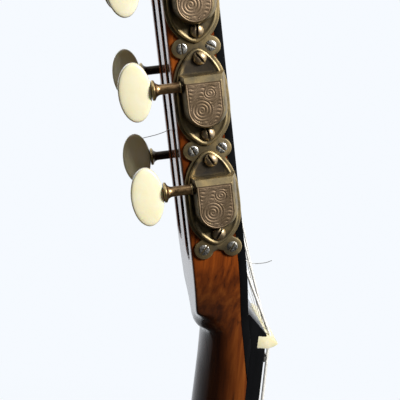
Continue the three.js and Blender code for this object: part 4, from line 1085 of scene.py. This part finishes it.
# Soundboard, back, braces, ribs and trim
outline = box_outline()
whole = front_prism(outline, -30, 140)
hole = arc(0, HOLE_HEIGHT, HOLE_HALF_WIDTH, HOLE_HALF_LENGTH, 0, 360, 72)[:-1]
board = piece("soundboard_wood", curved_slab(top_y, top(TOP_THICKNESS)), BOX, "soundboard_spruce", "soundboard")
cut(board, [(whole, BOX)], "INTERSECT")
cut(board, [(front_prism(hole, -30, 30), BOX)])
board = piece("back_wood", curved_slab(back(-BACK_THICKNESS), back_y), BOX, "body_rosewood", "back")
cut(board, [(whole, BOX)], "INTERSECT")
bars = [front_prism(rectangle(-195, z - 4, 195, z + 4), -12, 7) for z in BRACES]
braces = piece("top_braces", joined(bars), BOX, "inner_wood")
inner = front_prism(inset(outline, 10), -20, 130)
cut(braces, [(inner, BOX), (curved_slab(top(TOP_THICKNESS), top(40)), BOX)], "INTERSECT")
ribs = band(outline, inset(outline, RIB_THICKNESS), top(TOP_THICKNESS), back(-BACK_THICKNESS))
for side, name in SIDE_NAMES.items():
    rib = piece(f"rib_{name}_wood", ribs, BOX, "body_rosewood", f"rib_{name}")
    half = side_prism(rectangle(-60, -600, 200, 60), min(0, side * 300), max(0, side * 300))
    cut(rib, [(half, BOX)], "INTERSECT")
proud, wide = -0.06, 1.7
trims = [
    ("binding_top", outline, proud, wide, top(-0.05), top(4.6), "ivory_strip"),
    ("purfling_top", outline, wide, wide + 0.8, top(-0.03), top(1), "black_wood"),
    ("binding_back", outline, proud, wide, back(-4.6), back(0.05), "ivory_strip"),
    ("rosette_ring_1", hole, -2.4, -1.6, top(-0.04), top(0.8), "black_wood"),
    ("rosette_ring_2", hole, -5.2, -2.4, top(-0.04), top(0.8), "ivory_strip"),
    ("rosette_ring_3", hole, -6.0, -5.2, top(-0.04), top(0.8), "black_wood"),
]
for name, line, outer, within, near, far, look in trims:
    piece(name, band(inset(line, outer), inset(line, within), near, far), BOX, look)


# Bridge
crest = (BOX.inverted() @ (Vector((0, BRIDGE_TOP, BRIDGE_Z)) * MM)).y
foot, half = -TOP_ARCH - 0.1, 46
profile = [(foot + 4, -6), (foot + 4, 6), (foot - 5, 5.2), (crest + 3, 2.2), (crest, 0.9), (crest, -0.9)]
profile += [(crest + 3, -2.2), (foot - 5, -5.2)]
shares = [-1 + i / 24 for i in range(49)]
front = [(t * (half + 1), foot - 6 - (foot - 6 - crest) * (1 - abs(t) ** 3.2) ** 0.6) for t in shares]
front += [(half + 1, foot + 6), (-half - 1, foot + 6)]
place = BOX @ Matrix.Translation((0, 0, BRIDGE_IN_BOX))
bridge = piece("bridge_wood", side_prism(profile, -half - 1, half + 1), place, "body_rosewood", "bridge")
cut(bridge, [(prism(front, -20, 20), place)], "INTERSECT")
hollow = bezier((-34, foot + 6), [(-34, foot)], [(-30, foot - 3.4), (30, foot - 3.4), (34, foot)], [(34, foot + 6)])
under = slab(top(-0.1), top(30), [-60 + 6 * i for i in range(21)], [-250, -350])
cut(bridge, [(prism(hollow, -20, 20), place), (under, BOX)], bevel=0.5)


# Moustaches
for side, name in SIDE_NAMES.items():
    outline = []
    for edge, shares in ((-1, range(33)), (1, range(32, -1, -1))):
        for t in [i / 32 for i in shares]:
            rise = -15 * sin(t * pi * 0.62) + 7 * t * t + edge * (7.2 * (1 - t) ** 0.7 + 0.8)
            outline.append((side * (48 + 62 * t), BRIDGE_IN_BOX + rise))
    wing = front_prism(outline, -30, 20)
    wing = piece(f"moustache_{name}_wood", wing, BOX, "body_rosewood", f"moustache_{name}")
    cut(wing, [(curved_slab(top(-4.5), top(-0.1)), BOX)], "INTERSECT", bevel=0.9)


# Tailpiece
thickness, tail, lift, head = 1.5, -BODY_LENGTH - 0.3, TAILPIECE_LIFT, TAILPIECE_TOP
strap = [(34, tail - thickness), (-2.5, tail - thickness), (-7, tail + 4), (lift, head)]
strap += [(lift + thickness, head), (-7 + thickness, tail + 4), (-2, tail), (34, tail)]
flare = [(14, tail + 50), (31, tail + 50), (31, head - 16)]
plan = both_sides(bezier((14, tail - 10), [(14, tail + 12)], flare, [(31, head + 1)], steps=20))
plate = piece("tailpiece_brass", side_prism(strap, -40, 40), BOX, "aged_brass", "tailpiece")
cut(plate, [(front_prism(plan, -60, 60), BOX)], "INTERSECT")
cut(plate, [(side_prism(rectangle(lift - 2.5, head - 6, lift + 3, head + 0.5), -31, 31), BOX)], "UNION")
notch = rectangle(lift - 6, head - 10, lift - 0.6, head + 5)
places = [string_x(index, SPREAD_TAIL) for index in range(6)]
cut(plate, [(side_prism(notch, x - 1, x + 1), BOX) for x in places], bevel=0.35)


END_PIN = [
    (6.5, 0.1), (6.3, 0.9), (5, 2.2), (4.1, 4), (3.8, 6.5), (4.1, 9.5), (5.2, 11.2), (6.5, 12.2), (6.8, 12.9),
    (6.6, 13.7), (6.0, 14.0),
]

# End pin
place = BOX @ Matrix.Translation((0, 52, -BODY_LENGTH - 0.2)) @ Matrix.Rotation(pi, 4, "X")
piece("end_pin_turned", turned(END_PIN, 48), place, "black_wood", "end_pin")


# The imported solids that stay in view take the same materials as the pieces
for part in frame["record"]["subparts"]:
    look = part["material_slot"].replace("fret_steel", "screw_steel")
    for slot in frame["nodes"][part["node"]].material_slots:
        slot.material = LOOKS[look]


# Camera, light and surroundings

CAMERA_PLACE = Vector((-429.1, 72.34, 129.98)) * MM
CAMERA_YAW, CAMERA_PITCH, CAMERA_ROLL = -0.1165, 0.1767, 0.1098
FOCAL_SHARE = 1160.66 / 400
SENSOR_WIDTH = 36
BACKGROUND = (0.92, 0.955, 1.0)
AMBIENT = 0.12
AMBIENT_COLOUR = (1.0, 0.87, 0.64)
CARD_REACH, CARD_LOW, CARD_HIGH = 2.6, -0.85, 3.2

# The photograph's viewpoint, from the bass side, a little behind and above the nut
ahead = Matrix(((0, 0, -1), (-1, 0, 0), (0, 1, 0))).to_4x4() @ Matrix.Rotation(CAMERA_ROLL, 4, "Z")
turn = Matrix.Rotation(CAMERA_YAW, 4, "Z") @ Matrix.Rotation(CAMERA_PITCH, 4, "Y")
camera = bpy.data.cameras.new("camera")
camera.sensor_width = SENSOR_WIDTH
camera.lens = SENSOR_WIDTH * FOCAL_SHARE
camera.clip_start = 0.01
bpy.context.scene.camera = add_object("camera", camera)
bpy.context.scene.camera.matrix_world = Matrix.Translation(CAMERA_PLACE) @ turn @ ahead


def area_light(name, place, target, size, power, colour):
    light = bpy.data.lights.new(name, "AREA")
    light.size, light.energy, light.color = size, power, colour
    turn = (Vector(target) - Vector(place)).to_track_quat("-Z", "Y")
    add_object(name, light).matrix_world = Matrix.Translation(place) @ turn.to_matrix().to_4x4()


# World
world = bpy.data.worlds.new("studio")
bpy.context.scene.world = world
sky = Paint(world, "Background")
seen = sky.seen_directly()
strength = sky.node("ShaderNodeMapRange", {"Value": seen, "To Min": AMBIENT, "To Max": 1.0})[0]
sky.set(Strength=strength, Color=sky.mix(seen, AMBIENT_COLOUR, BACKGROUND))


# A pale floor that shows white, with the object's soft shadow on it
low, reach = cad_box[0][2] - 0.0005, 200
ground = add_mesh("floor", ([(x, y, low) for x, y in rectangle(-reach, -reach, reach, reach)], [(0, 1, 2, 3)]))
p = material("pale_floor", Roughness=0.9, Base_Color=(0.8, 0.82, 0.84))
glow = p.node("ShaderNodeEmission", {"Color": BACKGROUND, "Strength": 1.0})[0]
away = p.node("ShaderNodeVectorMath", {0: p.place()}, operation="LENGTH")["Value"]
share = p.math("MULTIPLY", p.seen_directly(), p.remap(away, 1.0, 2.6, 0.84, 1))
mixed = p.node("ShaderNodeMixShader", {0: share, 1: p.shader.outputs[0], 2: glow})[0]
p.put(p.tree.nodes["Material Output"].inputs["Surface"], mixed)
ground.data.materials.append(LOOKS["pale_floor"])


# Dark cards seen only in reflections, thinning out behind towards +X, as set beside brass and lacquer
p = material("dark_card", Roughness=0.9, Base_Color=(0.04, 0.04, 0.04))
x, y, z = p.node("ShaderNodeSeparateXYZ", {0: p.place()})
turn = p.math("MAXIMUM", p.math("SUBTRACT", p.math("ARCTAN2", y, x), 0.035), 0)
share = p.math("POWER", p.math("DIVIDE", turn, 1.54), 0.45)
p.set(Alpha=p.math("MAXIMUM", p.remap(x, 0.9, 1.3, 1, 0), share))
far, low, high = CARD_REACH, CARD_LOW, CARD_HIGH
cards = {
    "dark_card_bass": [(-far, y, z) for y, z in rectangle(-far, low, far, high)],
    "dark_card_back": [(x, far, z) for x, z in rectangle(-far, low, 8, high)],
    "dark_card_low": [(x, y, low) for x, y in rectangle(-far, -far, 4, far)],
}
for name, corners in cards.items():
    card = add_mesh(name, (corners, [(0, 1, 2, 3)]))
    card.data.materials.append(LOOKS["dark_card"])
    card.visible_camera = card.visible_shadow = False
    card.visible_diffuse = name == "dark_card_low"


# Lamps, and the view transform
area_light("key", (-1.35, -1.15, 1.15), (0, 0, 0.08), 0.6, 66, (1, 0.985, 0.95))
area_light("fill", (1.4, 1.1, 0.9), (0, 0, -0.2), 1.4, 11, (0.95, 0.97, 1))
bpy.context.scene.view_settings.view_transform = "Standard"
